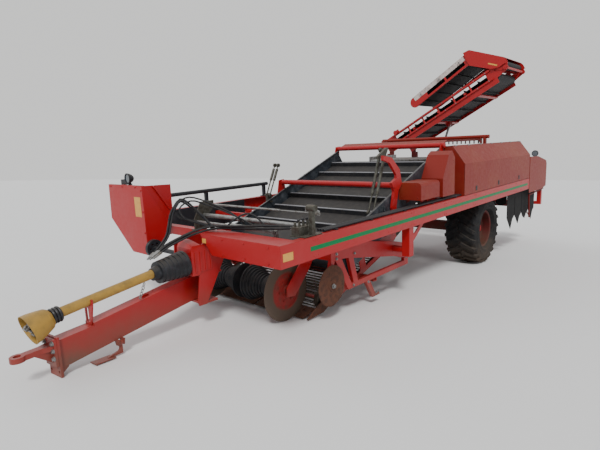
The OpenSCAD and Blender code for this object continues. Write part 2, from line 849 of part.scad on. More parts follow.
module second_web() {
  rods = floor(web2_len / rod_pitch);
  half = web2_w / 2;
  color(steel) park() translate([web2_front[0], 0, web2_front[1]]) rotate([0, web2_slope,
    0]) mirror([1, 0, 0]) {
    for (y = [-half, half - belt_strap]) {
      plate_xz(y, y + belt_strap) loop_band(web2_len, web2_r, strap_t);
    }
    for (i = [0:rods], side = [-1, 1]) {
      round_y([i * rod_pitch, side * (web2_r + 6)], -half + 5, half - 5, rod_d);
    }
    for (x = [0, web2_len]) {
      round_y([x, 0], -half - 20, half + 20, 50);
      for (y = [-half, half - belt_strap]) {
        round_y([x, 0], y, y + belt_strap, 2 * web2_r - 0.6);
      }
    }
  }
  color(red) park() translate([web2_front[0], 0, web2_front[1]]) rotate([0, web2_slope, 0]) mirror([1, 0, 0])
    for (y = [-half - 28, half + 20]) {
      block([1300, y < 0 ? -rail_y + seat_gap : y, -20], [1360, y < 0 ? y + 8 : rail_y - seat_gap, 20]);
      plate_xz(y, y + 8) difference() {
        polygon([[-60, -60], [-60, 60], [300, 170], [web2_len - 200, 170], [web2_len + 60, 60],
          [web2_len + 60, -60], [web2_len - 200, -110], [300, -110]]);
        for (x = [420, 860, 1400, 1840]) {
          translate([x, -40]) square([x < 1000 ? 360 : 320, 100]);
        }
      }
    }
  color(red) park() both_sides()
    block([1880, half + 20, 790], [1920, half + 28, beam_low + beam_t - seat_gap]);
}

// Left side
module hood_end() {
  polygon([[hood_in_y, beam_top + seat_gap], [half_w - 8, beam_top + seat_gap], [half_w - 8, hood_mid],
    [hood_edge_y - 2, hood_top - 10], [hood_in_y, hood_top - 10]]);
}

module main_hood() {
  color(red) park() {
    for (x = [hood_rear, hood_rear + hood_len / 3, hood_rear + 2 * hood_len / 3, hood_front - sheet_t]) {
      plate_yz(x, x + sheet_t) hood_end();
    }
    block([hood_rear, hood_in_y, beam_top + seat_gap], [hood_front, hood_in_y + sheet_t, hood_top]);
    block([hood_rear, hood_in_y, hood_top - sheet_t], [hood_front, hood_edge_y - 12, hood_top]);
    block([hood_rear, hood_in_y, beam_top + seat_gap], [hood_front, half_w - 12, beam_top + 4]);
  }
}

module hood_door() {
  low = beam_top + 8;
  color(red) park() {
    plate_yz(hood_rear + 4, hood_front - 4)
      polygon([[half_w - sheet_t, low], [half_w, low], [half_w, hood_mid + 2],
        [hood_edge_y + 2, hood_top + 2], [hood_edge_y - 2, hood_top - 4], [half_w - sheet_t, hood_mid]]);
    round_x(hood_rear + 4, hood_front - 4, [hood_edge_y, hood_top], 14);
    for (x = [hood_rear + 600, hood_front - 700]) {
      block([x, half_w - 1, low + 40], [x + 120, half_w + 2, low + 60]);
    }
  }
}

module rear_panel() {
  front = hood_rear - run_gap;
  color(red) park() {
    plate_xz(half_w + seat_gap, half_w + seat_gap + 4)
      polygon([[front, 1000], [front, 1690], [-2320, 1680], [-rear_x + 60, 1570], [-rear_x, 1500],
        [-rear_x, 1040],
        [-rear_x + 300, 1000]]);
    block([-rear_x, half_w - 50, beam_top + seat_gap], [-rear_x + 6, half_w + seat_gap + 1, 1500]);
    block([front - 6, half_w - 50, beam_top + seat_gap], [front, half_w + seat_gap + 1, 1690]);
  }
}

// work lamps: place, turn about the upright, degrees
lamp_spots = [[-2270, 1452, 1735, 20], [5000, -900, 1790, 0]];

module work_lamps() {
  color(black) park() for (lamp = lamp_spots) {
    translate([lamp[0], lamp[1], lamp[2]]) rotate([0, 0, lamp[3]]) {
      rotate([0, 90, 0]) rotate_extrude() polygon([[0, -40], [24, -40], [44, -20], [58, 10], [62, 34],
        [56, 34],
        [50, 12], [0, 12]]);
      translate([-8, -8, -62]) cube([16, 16, 40]);
    }
  }
  color(black) park() {
    block([-2290, 1440, 1500], [-2250, half_w, 1520]);
    block([-2278, 1444, 1519], [-2262, 1460, 1676]);
    block([4980, -908, 1715.3], [5020, -892, 1731]);
    block([4930, -1120, 1715.3], [5000, -1010, 1775]);
  }
}

module top_cover() {
  rear_bar = [-200, 2100];
  color(red) park() {
    plate_xz(-640, hood_in_y - seat_gap)
      polygon([[-190, 2066], [-190, 2072], [1180, 2072], [1312, 2027], [1312, 2020], [1178, 2066]]);
    round_y(rear_bar, -740, 1290, 60);
    block([-230, -rail_y - 60, rail_high + seat_gap], [-170, -rail_y, 2100]);
    block([-230, 1200, hood_top + seat_gap], [-170, 1240, 2100]);
    for (y = [-640, 1160]) {
      plate_xz(y, y + 6) polygon([[-230, 1985], [-230, 2110], [-170, 2120], [-150, 2067], [1170, 2067],
        [1312, 2022], [1312, 1985], [1170, 2040], [-100, 2040], [-150, 1985]]);
    }
    for (i = [0:23]) {
      block([-212, -600 + i * 74, 1990], [-204, -580 + i * 74, 2080]);
    }
    block([-216, -620, 2064], [-200, 1150, 2076]);
  }
}

module sorting_table() {
  rollers = 13;
  color(steel) park() {
    for (i = [0:rollers - 1]) {
      round_y([-1240 + i * 78, 1710], -1090, 1090, 60);
    }
    for (y = [-1100, 1090]) {
      block([-1300, y, 1650], [-250, y + 10, 1800]);
      for (leg = [[-1290, rail_high], [-1020, beam_low + beam_t + rail_w], [-330, rail_high]]) {
        block([leg[0], y > 0 ? y - 40 : y, leg[1] + seat_gap], [leg[0] + 50, y > 0 ? y + 10 : y + 50, 1651]);
      }
    }
    for (x = [-330, -1290]) {
      for (side = [[-1100, -rail_y - rail_w + 40], [rail_y + rail_w - 40, 1100]]) {
        block([x, side[0], rail_high + seat_gap], [x + 50, side[1], rail_high + 50]);
      }
    }
  }
}

module rear_platform() {
  low = 650;
  color(deep_red) park() {
    difference() {
      block([-rear_x + 80 + seat_gap, -1300, low], [-2300, 1300, low + 30]);
      for (i = [0:11], k = [0:3]) {
        block([-rear_x + 130 + k * 140, -1250 + i * 212, low - 1], [-rear_x + 230 + k * 140,
          -1080 + i * 212, low + 31]);
      }
    }
    both_sides() {
      block([-2360, 1230, low + 29], [-2310, 1280, beam_low + 110]);
      block([-2370, 1230, beam_low + beam_t + seat_gap], [-2310, beam_in + 60, beam_low + 50]);
    }
    for (p = [[[-2050, 490], [-1980, 940]], [[-1980, 940], [-2960, 980]]]) {
      bar_between([p[0][0], half_w - 44, p[0][1]], [p[1][0], half_w - 44, p[1][1]], 30);
    }
    translate([-1980, half_w - 44, 940]) sphere(d = 38);
    bar_between([-2320, half_w - 44, 955], [-2320, half_w - 44, beam_low - seat_gap], 26);
    bar_between([-2044, half_w - 46, 530], [-2330, 1270, 640], 22);
  }
}

module rear_flaps() {
  color(black) park() {
    for (k = [0:3]) {
      x = -1258 - k * 420;
      plate_xz(1404, 1412)
        polygon([[x, 1076], [x + 408, 1076], [x + 400, 640], [x + 310, 540 + 30 * (k % 2)],
          [x + 190, 410 + 40 * (k % 3)], [x + 90, 580], [x + 8, 620]]);
      block([x, 1404, beam_low - 20], [x + 408, 1434, beam_low - seat_gap]);
    }
    for (k = [0:9]) {
      y = -1200 + k * 240;
      plate_yz(-2296, -2288)
        polygon([[y, 1070], [y + 230, 1070], [y + 226, 700], [y + 115, 650 + 40 * (k % 2)], [y + 4, 700]]);
    }
    block([-2299.7, -1210, 1040], [-2285, 1210, beam_low - seat_gap]);
  }
}

module elevator_mount() {
  foot = beam_low + beam_t + rail_w + seat_gap;
  color(red) park() {
    for (side = [[-1360, el_front + 16], [-2480, el_front - el_w - 30]]) {
      tube_post([side[0], el_base[0] - 60, foot], [side[0] + 80, el_base[0] + 60,
        el_base[1] - el_depth / 2 - 20]);
      difference() {
        plate_yz(side[1], side[1] + 14)
          polygon([[el_base[0] - 60, 1700], [el_base[0] + 60, 1700], [el_base[0] + 50, el_base[1] + 30],
            [el_base[0], el_base[1] + 60], [el_base[0] - 50, el_base[1] + 30]]);
        round_x(side[1] - 1, side[1] + 15, el_base, hinge_d + fit_gap);
      }
    }
    block([-1346, el_base[0] - 60, 1700], [el_front + 17, el_base[0] + 60, 1716]);
    block([-2470, el_base[0] - 60, 1700], [el_front - el_w - 17, el_base[0] + 60, 1716]);
    tube_y([cyl_x - 50, -rail_y - rail_w, rail_high + seat_gap], [cyl_x + 50, rail_y + rail_w,
      rail_high + 80], beam_t);
    difference() {
      for (x = [cyl_x - 52, cyl_x + 38]) {
        plate_yz(x, x + 14)
          polygon([[cyl_foot[0] - 70, rail_high + 79], [cyl_foot[0] + 70, rail_high + 79],
            [cyl_foot[0] + 36, cyl_foot[1] + 36], [cyl_foot[0] - 36, cyl_foot[1] + 36]]);
      }
      round_x(cyl_x - 60, cyl_x + 60, cyl_foot, cyl_pin_d + fit_gap);
    }
    round_x(cyl_x - 60, cyl_x + 60, cyl_foot, cyl_pin_d);
    for (x = [cyl_x - 66, cyl_x + 54]) {
      round_x(x, x + 12, cyl_foot, cyl_pin_d + 16);
    }
  }
}

module tube_post(low, high) {
  difference() {
    block(low, high);
    block(low + [beam_t, beam_t, -1], high - [beam_t, beam_t, beam_t]);
  }
}

// Wheels
module on_wheel(side) {
  park() translate([0, side * tyre_y, axle_z]) rotate([-90 * side, 0, 0]) children();
}

module tyre(side) {
  outer = tyre_d / 2;
  half = tyre_w / 2;
  bead = rim_w / 2 - 13;
  color(black) on_wheel(side) {
    rotate_extrude($fn = 72) polygon([[rim_d / 2 + seat_gap, -bead], [rim_d / 2 + 26, -bead],
      [rim_d / 2 + 60, -half + 8], [outer - 150, -half], [outer - lug_h - 46, -half + 26],
      [outer - lug_h - 14, -half + 80], [outer - lug_h, 0], [outer - lug_h - 14, half - 80],
      [outer - lug_h - 46, half - 26], [outer - 150, half], [rim_d / 2 + 60, half - 8],
      [rim_d / 2 + 26, bead], [rim_d / 2 + seat_gap, bead]]);
    intersection() {
      rotate_extrude($fn = 72) polygon([[outer - lug_h - 60, -half + 6], [outer - 60, -half + 6],
        [outer - 18, -half + 40], [outer, 0], [outer - 18, half - 40], [outer - 60, half - 6],
        [outer - lug_h - 60, half - 6]]);
      for (i = [0:lug_count - 1], turn = [0, 1]) {
        rotate([0, 0, (i + turn / 2) * 360 / lug_count])
          translate([outer - lug_h / 2 - 24, 0, (turn == 0 ? -1 : 1) * tyre_w / 4])
          rotate([(turn == 0 ? 1 : -1) * 30, 0, 0])
          cube([lug_h + 60, 52, tyre_w / 2], center = true);
      }
    }
  }
}

module rim(side) {
  seat = rim_d / 2;
  half = rim_w / 2;
  color(red) on_wheel(side) {
    rotate_extrude() polygon([[seat - 8, -half + 8], [seat + 16, -half - 2], [seat + 22, -half + 2],
      [seat + 20, -half + 7], [seat, -half + 12], [seat, -70], [seat - 34, -50], [seat - 34, 50],
      [seat, 70], [seat, half - 12], [seat + 20, half - 7], [seat + 22, half - 2], [seat + 16, half + 2],
      [seat - 8, half - 8], [seat - 8, 74], [seat - 42, 54], [seat - 42, -54], [seat - 8, -74]]);
    difference() {
      rotate_extrude() polygon([[stub_d / 2 + fit_gap / 2, -70], [88, -70], [88, -8], [160, 8], [190, 30],
        [seat - 41, 40], [seat - 41, 52], [184, 42], [152, 20], [88, 4], [88, 70],
        [stub_d / 2 + fit_gap / 2, 70]]);
      for (i = [0:stud_count - 1]) {
        rotate([0, 0, (i + 0.5) * 360 / stud_count]) translate([172, 0, -20]) cylinder(h = 80, d = 34);
      }
    }
    for (i = [0:stud_count - 1]) {
      rotate([0, 0, i * 360 / stud_count]) translate([120, 0, 0]) cylinder(h = 40, d = 32, $fn = 6);
    }
  }
}

module tyre_left() {
  tyre(1);
}

module tyre_right() {
  tyre(-1);
}

module rim_left() {
  rim(1);
}

module rim_right() {
  rim(-1);
}

// Drawbar
module on_drawbar() {
  park() translate([bar_pin[0], bar_pin[1], 0]) rotate([0, 0, bar_swing]) children();
}

function bar_under(x) = bar_base - bar_fall * (x - bar_flat);
function bar_over(x) = bar_crown - bar_top_fall * (x - 60);

module drawbar() {
  step_top = bar_over(bar_step_x);
  nose_top = step_top - bar_step - 13;
  color(red) on_drawbar() {
    difference() {
      plate_xz(-bar_w / 2, bar_w / 2)
        polygon([[-70, bar_base], [-70, bar_crown], [60, bar_crown], [bar_step_x, step_top],
          [bar_step_x, step_top - bar_step], [bar_len + 1, nose_top], [bar_len + 1, bar_under(bar_len)],
          [bar_flat, bar_base]]);
      plate_xz(-bar_w / 2 + bar_t, bar_w / 2 - bar_t)
        polygon([[80, bar_base + bar_t], [80, bar_over(80) - bar_t], [bar_step_x - bar_t,
          step_top - 1.4 * bar_t],
          [bar_step_x - bar_t, step_top - bar_step - bar_t], [bar_len - bar_t, nose_top - bar_t],
          [bar_len - bar_t, bar_under(bar_len) + bar_t]]);
      translate([0, 0, bar_base - 10]) cylinder(h = bar_h + 20, d = pin_d + fit_gap);
    }
    difference() {
      block([bar_len, -plate_w / 2, plate_low], [bar_len + plate_t, plate_w / 2, plate_high]);
      for (y = [-58, 58], i = [0:4]) {
        translate([bar_len - 1, y, plate_low + 44 + i * 60]) rotate([0, 90,
          0]) cylinder(h = plate_t + 2, d = 22);
      }
    }
    for (y = [-bar_w / 2, bar_w / 2 - 10]) {
      plate_xz(y, y + 10) polygon([[bar_len - 60, bar_under(bar_len) - 1 + 2], [bar_len + 1,
        bar_under(bar_len) + 1],
        [bar_len + 1, plate_low + 20]]);
    }
    for (x = [foot_pivot[0] - 30, foot_pivot[0] + 18]) {
      plate_yz(x, x + 12) polygon([[24, bar_under(x) + 1], [96, bar_under(x) + 1], [84, foot_pivot[2] - 20],
        [44, foot_pivot[2] - 20]]);
    }
    round_x(foot_pivot[0] - 34, foot_pivot[0] + 34, [foot_pivot[1], foot_pivot[2]], foot_pin_d);
    block([620, -14, bar_over(620) - 6], [690, 14, bar_over(620) + 14]);
  }
}

module hitch_eye() {
  at = bar_len + plate_t + seat_gap;
  centre = bar_len + plate_t + eye_reach;
  color(deep_red) on_drawbar() difference() {
    union() {
      difference() {
        block([at, -plate_w / 2 + 4, eye_z - 150], [at + eye_plate_t, plate_w / 2 - 4, plate_high - 8]);
        for (y = [-58, 58], i = [2:4]) {
          translate([at - 1, y, plate_low + 44 + i * 60]) rotate([0, 90,
            0]) cylinder(h = eye_plate_t + 2, d = 22);
        }
      }
      translate([0, 0, eye_z - eye_t / 2]) linear_extrude(eye_t) {
        polygon([[at + eye_plate_t - 1, -58], [at + eye_plate_t - 1, 58], [at + 90, 36], [centre, 34],
          [centre, -34], [at + 90, -36]]);
        translate([centre, 0]) circle(d = eye_d);
      }
      for (y = [-34, 22]) {
        plate_xz(y, y + 12) polygon([[at + eye_plate_t - 1, eye_z - 120], [at + eye_plate_t - 1, eye_z - 19],
          [at + 150, eye_z - 19]]);
      }
    }
    translate([centre, 0, eye_z - eye_t]) cylinder(h = 2 * eye_t, d = eye_bore);
  }
}

function pto_point(t) = pto_rear + (pto_front - pto_rear) * t;

module pto_shaft() {
  color(steel) on_drawbar() {
    bar_between(pto_point(0), pto_point(0.985), 46);
    along(pto_point(0.975), pto_point(1)) rotate([0, 35, 0]) {
      difference() {
        translate([-44, -30, -14]) cube([88, 60, 110]);
        translate([-30, -31, 20]) cube([60, 62, 100]);
        translate([-50, 0, 74]) rotate([0, 90, 0]) cylinder(h = 100, d = 26);
      }
      translate([-56, 0, 74]) rotate([0, 90, 0]) cylinder(h = 112, d = 26);
      translate([0, -50, 74]) rotate([-90, 0, 0]) cylinder(h = 100, d = 26);
    }
  }
}

module pto_guard() {
  color(yellow) on_drawbar() {
    difference() {
      bar_between(pto_point(pto_tube_rear), pto_point(pto_tube_front), pto_d);
      bar_between(pto_point(0), pto_point(1), pto_d - 10);
    }
    difference() {
      translate(bell_at) rotate([0, 90 + bell_tilt, -4]) rotate_extrude()
        polygon([[46, -6], [66, -6], [84, 14], [99, 62], [115, 125], [121, 168], [115, 168], [108, 125],
          [93, 64], [78, 20], [62, 2], [46, 2]]);
      bar_between(pto_point(0.6), pto_point(1), pto_d - 4);
    }
  }
}

module pto_rear_cone() {
  reach = norm(cone_front - cone_rear);
  ribs = 6;
  wall = 6;
  r_rear = 130;
  r_front = 104;
  step = reach / ribs;
  color(black) on_drawbar() difference() {
    union() {
      along(cone_rear, cone_front) rotate_extrude() polygon(concat(
        [for (i = [0:ribs - 1], k = [0, 1, 2, 3])
          let (x = (i + [0, 0.45, 0.55, 0.95][k]) * step, r = r_rear + (r_front - r_rear) * x / reach)
          [r - (k > 1 ? 7 : 0), x]],
        [[r_front, reach], [40, reach], [40, reach - wall], [r_front - 14, reach - wall], [r_rear - 16, 0]]));
      along(cone_front, cone_front + (cone_front - cone_rear)) cylinder(h = 60, d1 = 140, d2 = 114);
    }
    bar_between(pto_point(-0.05), pto_point(0.6), pto_d + 0.6);
  }
}

module pto_support() {
  rest_x = bar_step_x - 6;
  t = (rest_x - pto_rear[0]) / (pto_front[0] - pto_rear[0]);
  at = pto_point(t);
  foot = bar_over(bar_step_x) - bar_step;
  color(red) on_drawbar() difference() {
    union() {
      plate_yz(rest_x + 8, rest_x + 20) difference() {
        polygon([[-34, foot - 14], [-34, at[2] - 20], [-20, at[2] + 14], [at[1] + 56, at[2] + 14],
          [at[1] + 56, at[2] - 30], [34, foot - 14]]);
        polygon([[-16, foot + 26], [-16, at[2] - 66], [4, at[2] - 56], [18, at[2] - 66], [18, foot + 26]]);
      }
      block([rest_x + 8, -34, foot - 14], [rest_x + 40, 34, foot - 6]);
    }
    bar_between(pto_point(0.3), pto_point(1), pto_d + 0.6);
    plate_xz(-100, 100) polygon([[bar_step_x - 10, foot - 40], [bar_step_x - 10, foot + 0.8], [bar_len,
      foot - 12.1],
      [bar_len, foot - 60]]);
  }
}

module parking_foot() {
  knee_at = [1085, 396];
  at = foot_pivot;
  color(red) on_drawbar() difference() {
    union() {
      plate_xz(at[1] - 10, at[1] + 10)
        polygon([[at[0] - 12, at[2]], [at[0] + 12, at[2]], [at[0] + 12, at[2] - 50],
          [at[0] + 24, at[2] - 66], [knee_at[0] + 34, knee_at[1] + 4], [knee_at[0] - 30, knee_at[1] - 6],
          [at[0] - 12, at[2] - 96]]);
      translate([knee_at[0], at[1], knee_at[1] - 8]) rotate([0, -4, 0]) translate([-20, -45,
        0]) cube([180, 90, 8]);
      round_x(at[0] - 17, at[0] + 17, [at[1], at[2]], foot_pin_d + 20);
    }
    round_x(at[0] - 40, at[0] + 40, [at[1], at[2]], foot_pin_d + fit_gap);
  }
}

// Digger
module in_digger() {
  translate(dig_pivot) rotate([0, dig_slope, 0]) children();
}

module digger_side() {
  top = carrier[1] + 60;
  difference() {
    union() {
      polygon([[2380, 600], [2380, 770], [2790, 880], [3791, 1062], [carrier[0] + 70, top],
        [carrier[0] + 70, carrier[1] - 40], [3791, 880], [2790, 690], [2620, 640]]);
      polygon([[3900, 980], [carrier[0] + 40, 960], [3745, 518], [3650, 518]]);
      polygon([[3660, 930], [3750, 940], [3645, 578], [3560, 578]]);
      polygon([[2440, 518], [2440, 578], [3745, 578], [3745, 518]]);
      polygon([[3330, 530], [3410, 530], [3270, 300], [3120, 300], [3130, 326], [3220, 340]]);
      polygon([[2440, 570], [2540, 570], [2540, 700], [2440, 700]]);
      polygon([[carrier[0] + 10, 900], [carrier[0] + 69, 900], [guide_at[0] + 40, guide_at[1]],
        [guide_at[0], guide_at[1] - 40], [guide_at[0] - 40, guide_at[1]]]);
    }
    translate([dig_pivot[0], dig_pivot[2]]) circle(d = dig_shaft_d + fit_gap);
  }
}

module digger_arm(y, reach) {
  plate_xz(y, y + 12)
    polygon([[carrier[0], 895], [carrier[0], 965], [4120, 940], [4400, 650], [4400, 560], [4280, 545],
      [4050, 780]]);
  round_y(disc_at, min(y + 6, y + reach), max(y + 6, y + reach), axle_d);
}

module digger_frame() {
  left = dig_mid_y + dig_edge;
  right = dig_mid_y - dig_edge;
  bar_x = 3180;
  color(red) park() {
    in_digger() for (y = [right, left - dig_side_t]) {
      plate_xz(y, y + dig_side_t) difference() {
        polygon([[-390, -70], [-390, 60], [0, 112], [dig_front - 60, 112], [dig_front + 60, 40],
          [dig_front + 60, -60], [dig_front - 100, -125], [0, -125]]);
        for (x = [120, 480, 840]) {
          translate([x, -62]) square([240, 124]);
        }
        circle(d = dig_shaft_d + fit_gap);
      }
    }
    in_digger() for (x = [dig_front - dig_len, dig_front]) {
      round_y([x, 0], right + 1, left - 1, 44);
    }
    for (y = [right, left - dig_side_t]) {
      block([bar_x, y, 520], [bar_x + 60, y + dig_side_t, 640]);
    }
    for (y = [arm_right, arm_left]) {
      plate_xz(y, y + arm_t) digger_side();
    }
    tube_y([carrier[0] - 40, arm_right + 1, carrier[1] - 40], [carrier[0] + 40, arm_left + arm_t - 1,
      carrier[1] + 40], 6);
    tube_y([bar_x, arm_right + 1, 480], [bar_x + 60, arm_left + arm_t - 1, 530], 5);
    digger_arm(disc_ys[0][1] + 60, -95);
    digger_arm(disc_ys[1][1] - 72, 107);
    roller_fork(ridge_ys[0][1]);
    roller_fork(ridge_ys[1][1]);
    round_y(guide_at, arm_left + 1, guide_ys[0][1] + 20, axle_d);
    round_y(guide_at, guide_ys[1][1] - 20, arm_right + arm_t - 1, axle_d);
  }
}

module roller_fork(y) {
  half = roller_len / 2 + 12;
  for (side = [-half - 12, half]) {
    plate_xz(y + side, y + side + 12)
      polygon([[carrier[0], 900], [carrier[0], 960], [4060, 940], [4330, 640], [4340, 560], [4240, 545],
        [4190, 640]]);
  }
  round_y(ridge_at, y - half - 12, y + half + 12, axle_d);
}

module shares() {
  low = dig_mid_y - dig_w / 2 + 10;
  pitch = dig_w / 2 - 10;
  color(rust) park() {
    for (row = [0, 1]) {
      translate([0, low + row * pitch, 0]) plate_xz(0, pitch - 30)
        polygon([[4020, 318], [4040, 340], [4215, 292], [4225, 282], [4200, 280]]);
      for (k = [0:3]) {
        y = low + row * pitch + 60 + k * 190;
        plate_xz(y, y + 30) polygon([[3960, 292], [3960, 306], [4060, 336], [4060, 310]]);
      }
    }
    for (y = [dig_mid_y - dig_edge - 12.3, dig_mid_y + dig_edge + 0.3]) {
      plate_xz(y, y + 12) polygon([[3880, 430], [3960, 430], [4080, 380], [4230, 292], [4220, 280],
        [3960, 292], [3880, 330]]);
    }
    for (y = [dig_mid_y - dig_edge - 12, dig_mid_y + dig_edge - 30]) {
      block([3960, y, 290], [4000, y + 42, 310]);
    }
    block([3960, dig_mid_y - dig_edge, 292], [3990, dig_mid_y + dig_edge, 306]);
  }
}

module digging_web() {
  rods = floor(dig_len / rod_pitch);
  low = dig_mid_y - dig_w / 2;
  high = dig_mid_y + dig_w / 2;
  color(steel) park() in_digger() translate([dig_front - dig_len, 0, 0]) {
    for (y = [low, dig_mid_y - belt_strap / 2, high - belt_strap]) {
      plate_xz(y, y + belt_strap) loop_band(dig_len, dig_r, strap_t);
    }
    for (i = [0:rods], side = [-1, 1]) {
      round_y([i * rod_pitch, side * (dig_r + 6)], low + 5, high - 5, rod_d);
    }
    for (x = [0, dig_len], y = [low, dig_mid_y - belt_strap / 2, high - belt_strap]) {
      difference() {
        round_y([x, 0], y, y + belt_strap, 2 * dig_r - 0.6);
        round_y([x, 0], y - 1, y + belt_strap + 1, 44.6);
      }
    }
    for (a = [-60, -30, 0, 30, 60]) {
      r = dig_r + 6;
      round_y([dig_len + r * cos(a), r * sin(a)], low + 5, high - 5, rod_d);
      round_y([-r * cos(a), r * sin(a)], low + 5, high - 5, rod_d);
    }
  }
}

module coulter(y) {
  color(deep_red) park() translate([disc_at[0], y, disc_at[1]]) rotate([90, 0, 0]) {
    rotate_extrude($fn = 72) polygon([[axle_d / 2 + fit_gap / 2, -34], [62, -34], [66, -12], [150, -10],
      [170, -4], [disc_d / 2 - 30, -4], [disc_d / 2, -0.8], [disc_d / 2, 0.8], [disc_d / 2 - 30, 4],
      [170, 4], [150, 10], [66, 12], [62, 34], [axle_d / 2 + fit_gap / 2, 34]]);
    for (i = [0:5]) {
      rotate([0, 0, i * 60]) translate([108, 0, -18]) cylinder(h = 36, d = 24, $fn = 6);
    }
  }
}

module coulter_left() {
  coulter(disc_ys[0][1]);
}

module coulter_right() {
  coulter(disc_ys[1][1]);
}

module guide_disc(y) {
  color(rust) park() translate([guide_at[0], y, guide_at[1]]) rotate([90, 0, 0])
    rotate_extrude($fn = 72) polygon([[axle_d / 2 + fit_gap / 2, -16], [52, -16], [60, -5],
      [guide_d / 2 - 20, -4],
      [guide_d / 2, -0.8], [guide_d / 2, 0.8], [guide_d / 2 - 20, 4], [60, 5], [52, 16],
      [axle_d / 2 + fit_gap / 2, 16]]);
}

module guide_disc_left() {
  guide_disc(guide_ys[0][1]);
}

module guide_disc_right() {
  guide_disc(guide_ys[1][1]);
}

module ridge_roller(y) {
  half = roller_len / 2;
  big = roller_d / 2;
  waist = 118;
  steps = 7;
  step = half / steps;
  function girth(i) = waist + (big - waist) * pow(i / steps, 1.4);
  color(black) park() translate([ridge_at[0], y, ridge_at[1]]) rotate([90, 0, 0])
    rotate_extrude() polygon(concat(
      [[axle_d / 2 + fit_gap / 2, half], [axle_d / 2 + fit_gap / 2, -half]],
      [for (i = [steps:-1:1], k = [0, 1, 2, 3])
        [girth(i) - (k > 1 ? 14 : 0), -(i - [0, 0.5, 0.6, 0.9][k]) * step]],
      [for (i = [1:steps], k = [3, 2, 1, 0])
        [girth(i) - (k > 1 ? 14 : 0), (i - [0, 0.5, 0.6, 0.9][k]) * step]]));
}

module ridge_roller_left() {
  ridge_roller(ridge_ys[0][1]);
}

module ridge_roller_right() {
  ridge_roller(ridge_ys[1][1]);
}

// Elevator
function cyl_at(s) = let (way = unit(cyl_eye - cyl_foot)) [cyl_x, cyl_foot[0] + way[0] * s,
  cyl_foot[1] + way[1] * s];

module on_elevator() {
  park() translate([el_front, el_base[0], el_base[1]]) rotate([el_slope, 0, 0]) children();
}

module trough_outline(reach) {
  top = el_low + el_depth;
  polygon([[-el_back, el_low], [reach + 30, el_low], [reach + 50, top], [-60, top], [-el_back, top - 120]]);
}

module trough_side(reach) {
  bays = 6;
  bay = (reach - 260) / bays;
  difference() {
    trough_outline(reach);
    for (i = [0:bays - 1]) {
      translate([170 + i * bay, el_low + 140]) square([bay - 36, el_depth - 140 - 52]);
    }
  }
}

module elevator_trough() {
  top = el_low + el_depth;
  color(red) on_elevator() {
    for (x = [-el_sheet, -el_w]) {
      plate_yz(x, x + el_sheet) {
        if (x > -el_w) {
          trough_side(el_len);
        } else {
          trough_outline(el_len);
        }
        polygon([[el_len - 40, -60], [el_len - 40, 100], [knee_reach + 10, knee_lift + 42],
          [knee_reach + 42, knee_lift], [knee_reach + 10, knee_lift - 42]]);
      }
    }
    round_x(-el_w - 44, 44, [knee_reach, knee_lift], knee_pin_d);
    for (rail = [[0, top - 46], [0, el_low + 104], [-el_w - 30, top - 46], [-el_w - 30, el_low + 104]]) {
      block([rail[0] - 1, 110, rail[1]], [rail[0] + 30, el_len - 30, rail[1] + 34]);
    }
    round_x(-el_w - 47, 47, [0, 0], hinge_d);
    for (x = [-el_w - 60, 46]) {
      round_x(x, x + 14, [0, 0], hinge_d + 20);
    }
    round_x(-el_w + 1, -1, [el_len, 0], 50);
    for (x = [-el_w + 40, -el_w / 2 - 25, -90], y = [0, el_len]) {
      round_x(x, x + 50, [y, 0], 2 * el_r - 0.6);
    }
    for (y = [620, 1240, 1860]) {
      round_x(-el_w + 1, -1, [y, el_r - 25], 49.4);
    }
    for (y = [cyl_eye_u, 2080]) {
      block([-el_w + 1, y - 30, el_low - 12], [-1, y + 30, el_low + 12]);
    }
    difference() {
      for (x = [cyl_x - el_front - 46, cyl_x - el_front + 32]) {
        plate_yz(x, x + 14) polygon([[cyl_eye_u - 60, el_low - 10], [cyl_eye_u - 32, cyl_eye_v - 32],
          [cyl_eye_u + 32, cyl_eye_v - 32], [cyl_eye_u + 60, el_low - 10]]);
      }
      round_x(cyl_x - el_front - 60, cyl_x - el_front + 60, [cyl_eye_u, cyl_eye_v], cyl_pin_d + fit_gap);
    }
    round_x(cyl_x - el_front - 56, cyl_x - el_front + 56, [cyl_eye_u, cyl_eye_v], cyl_pin_d);
    round_x(29, 120, [252, 167], 96);
    block([28, 200, top - 40], [60, 310, top + 40]);
  }
}

module elevator_belt() {
  color(black) on_elevator() plate_yz(-el_w + 20, -20) {
    loop_band(el_len, el_r, belt_t);
    for (i = [0:floor((el_len - 120) / 300)], side = [-1, 1]) {
      translate([60 + i * 300, side > 0 ? el_r + belt_t - 1 : -el_r - belt_t - out_flight_h + 1])
        square([12, out_flight_h]);
    }
  }
}

module on_outer() {
  park() translate([el_front, knee[0], knee[1]]) rotate([180 + out_slope, 0, 0]) children();
}

module outer_face(r) {
  capsule(out_start, out_bend, r);
  capsule(out_bend, out_tip, r);
}

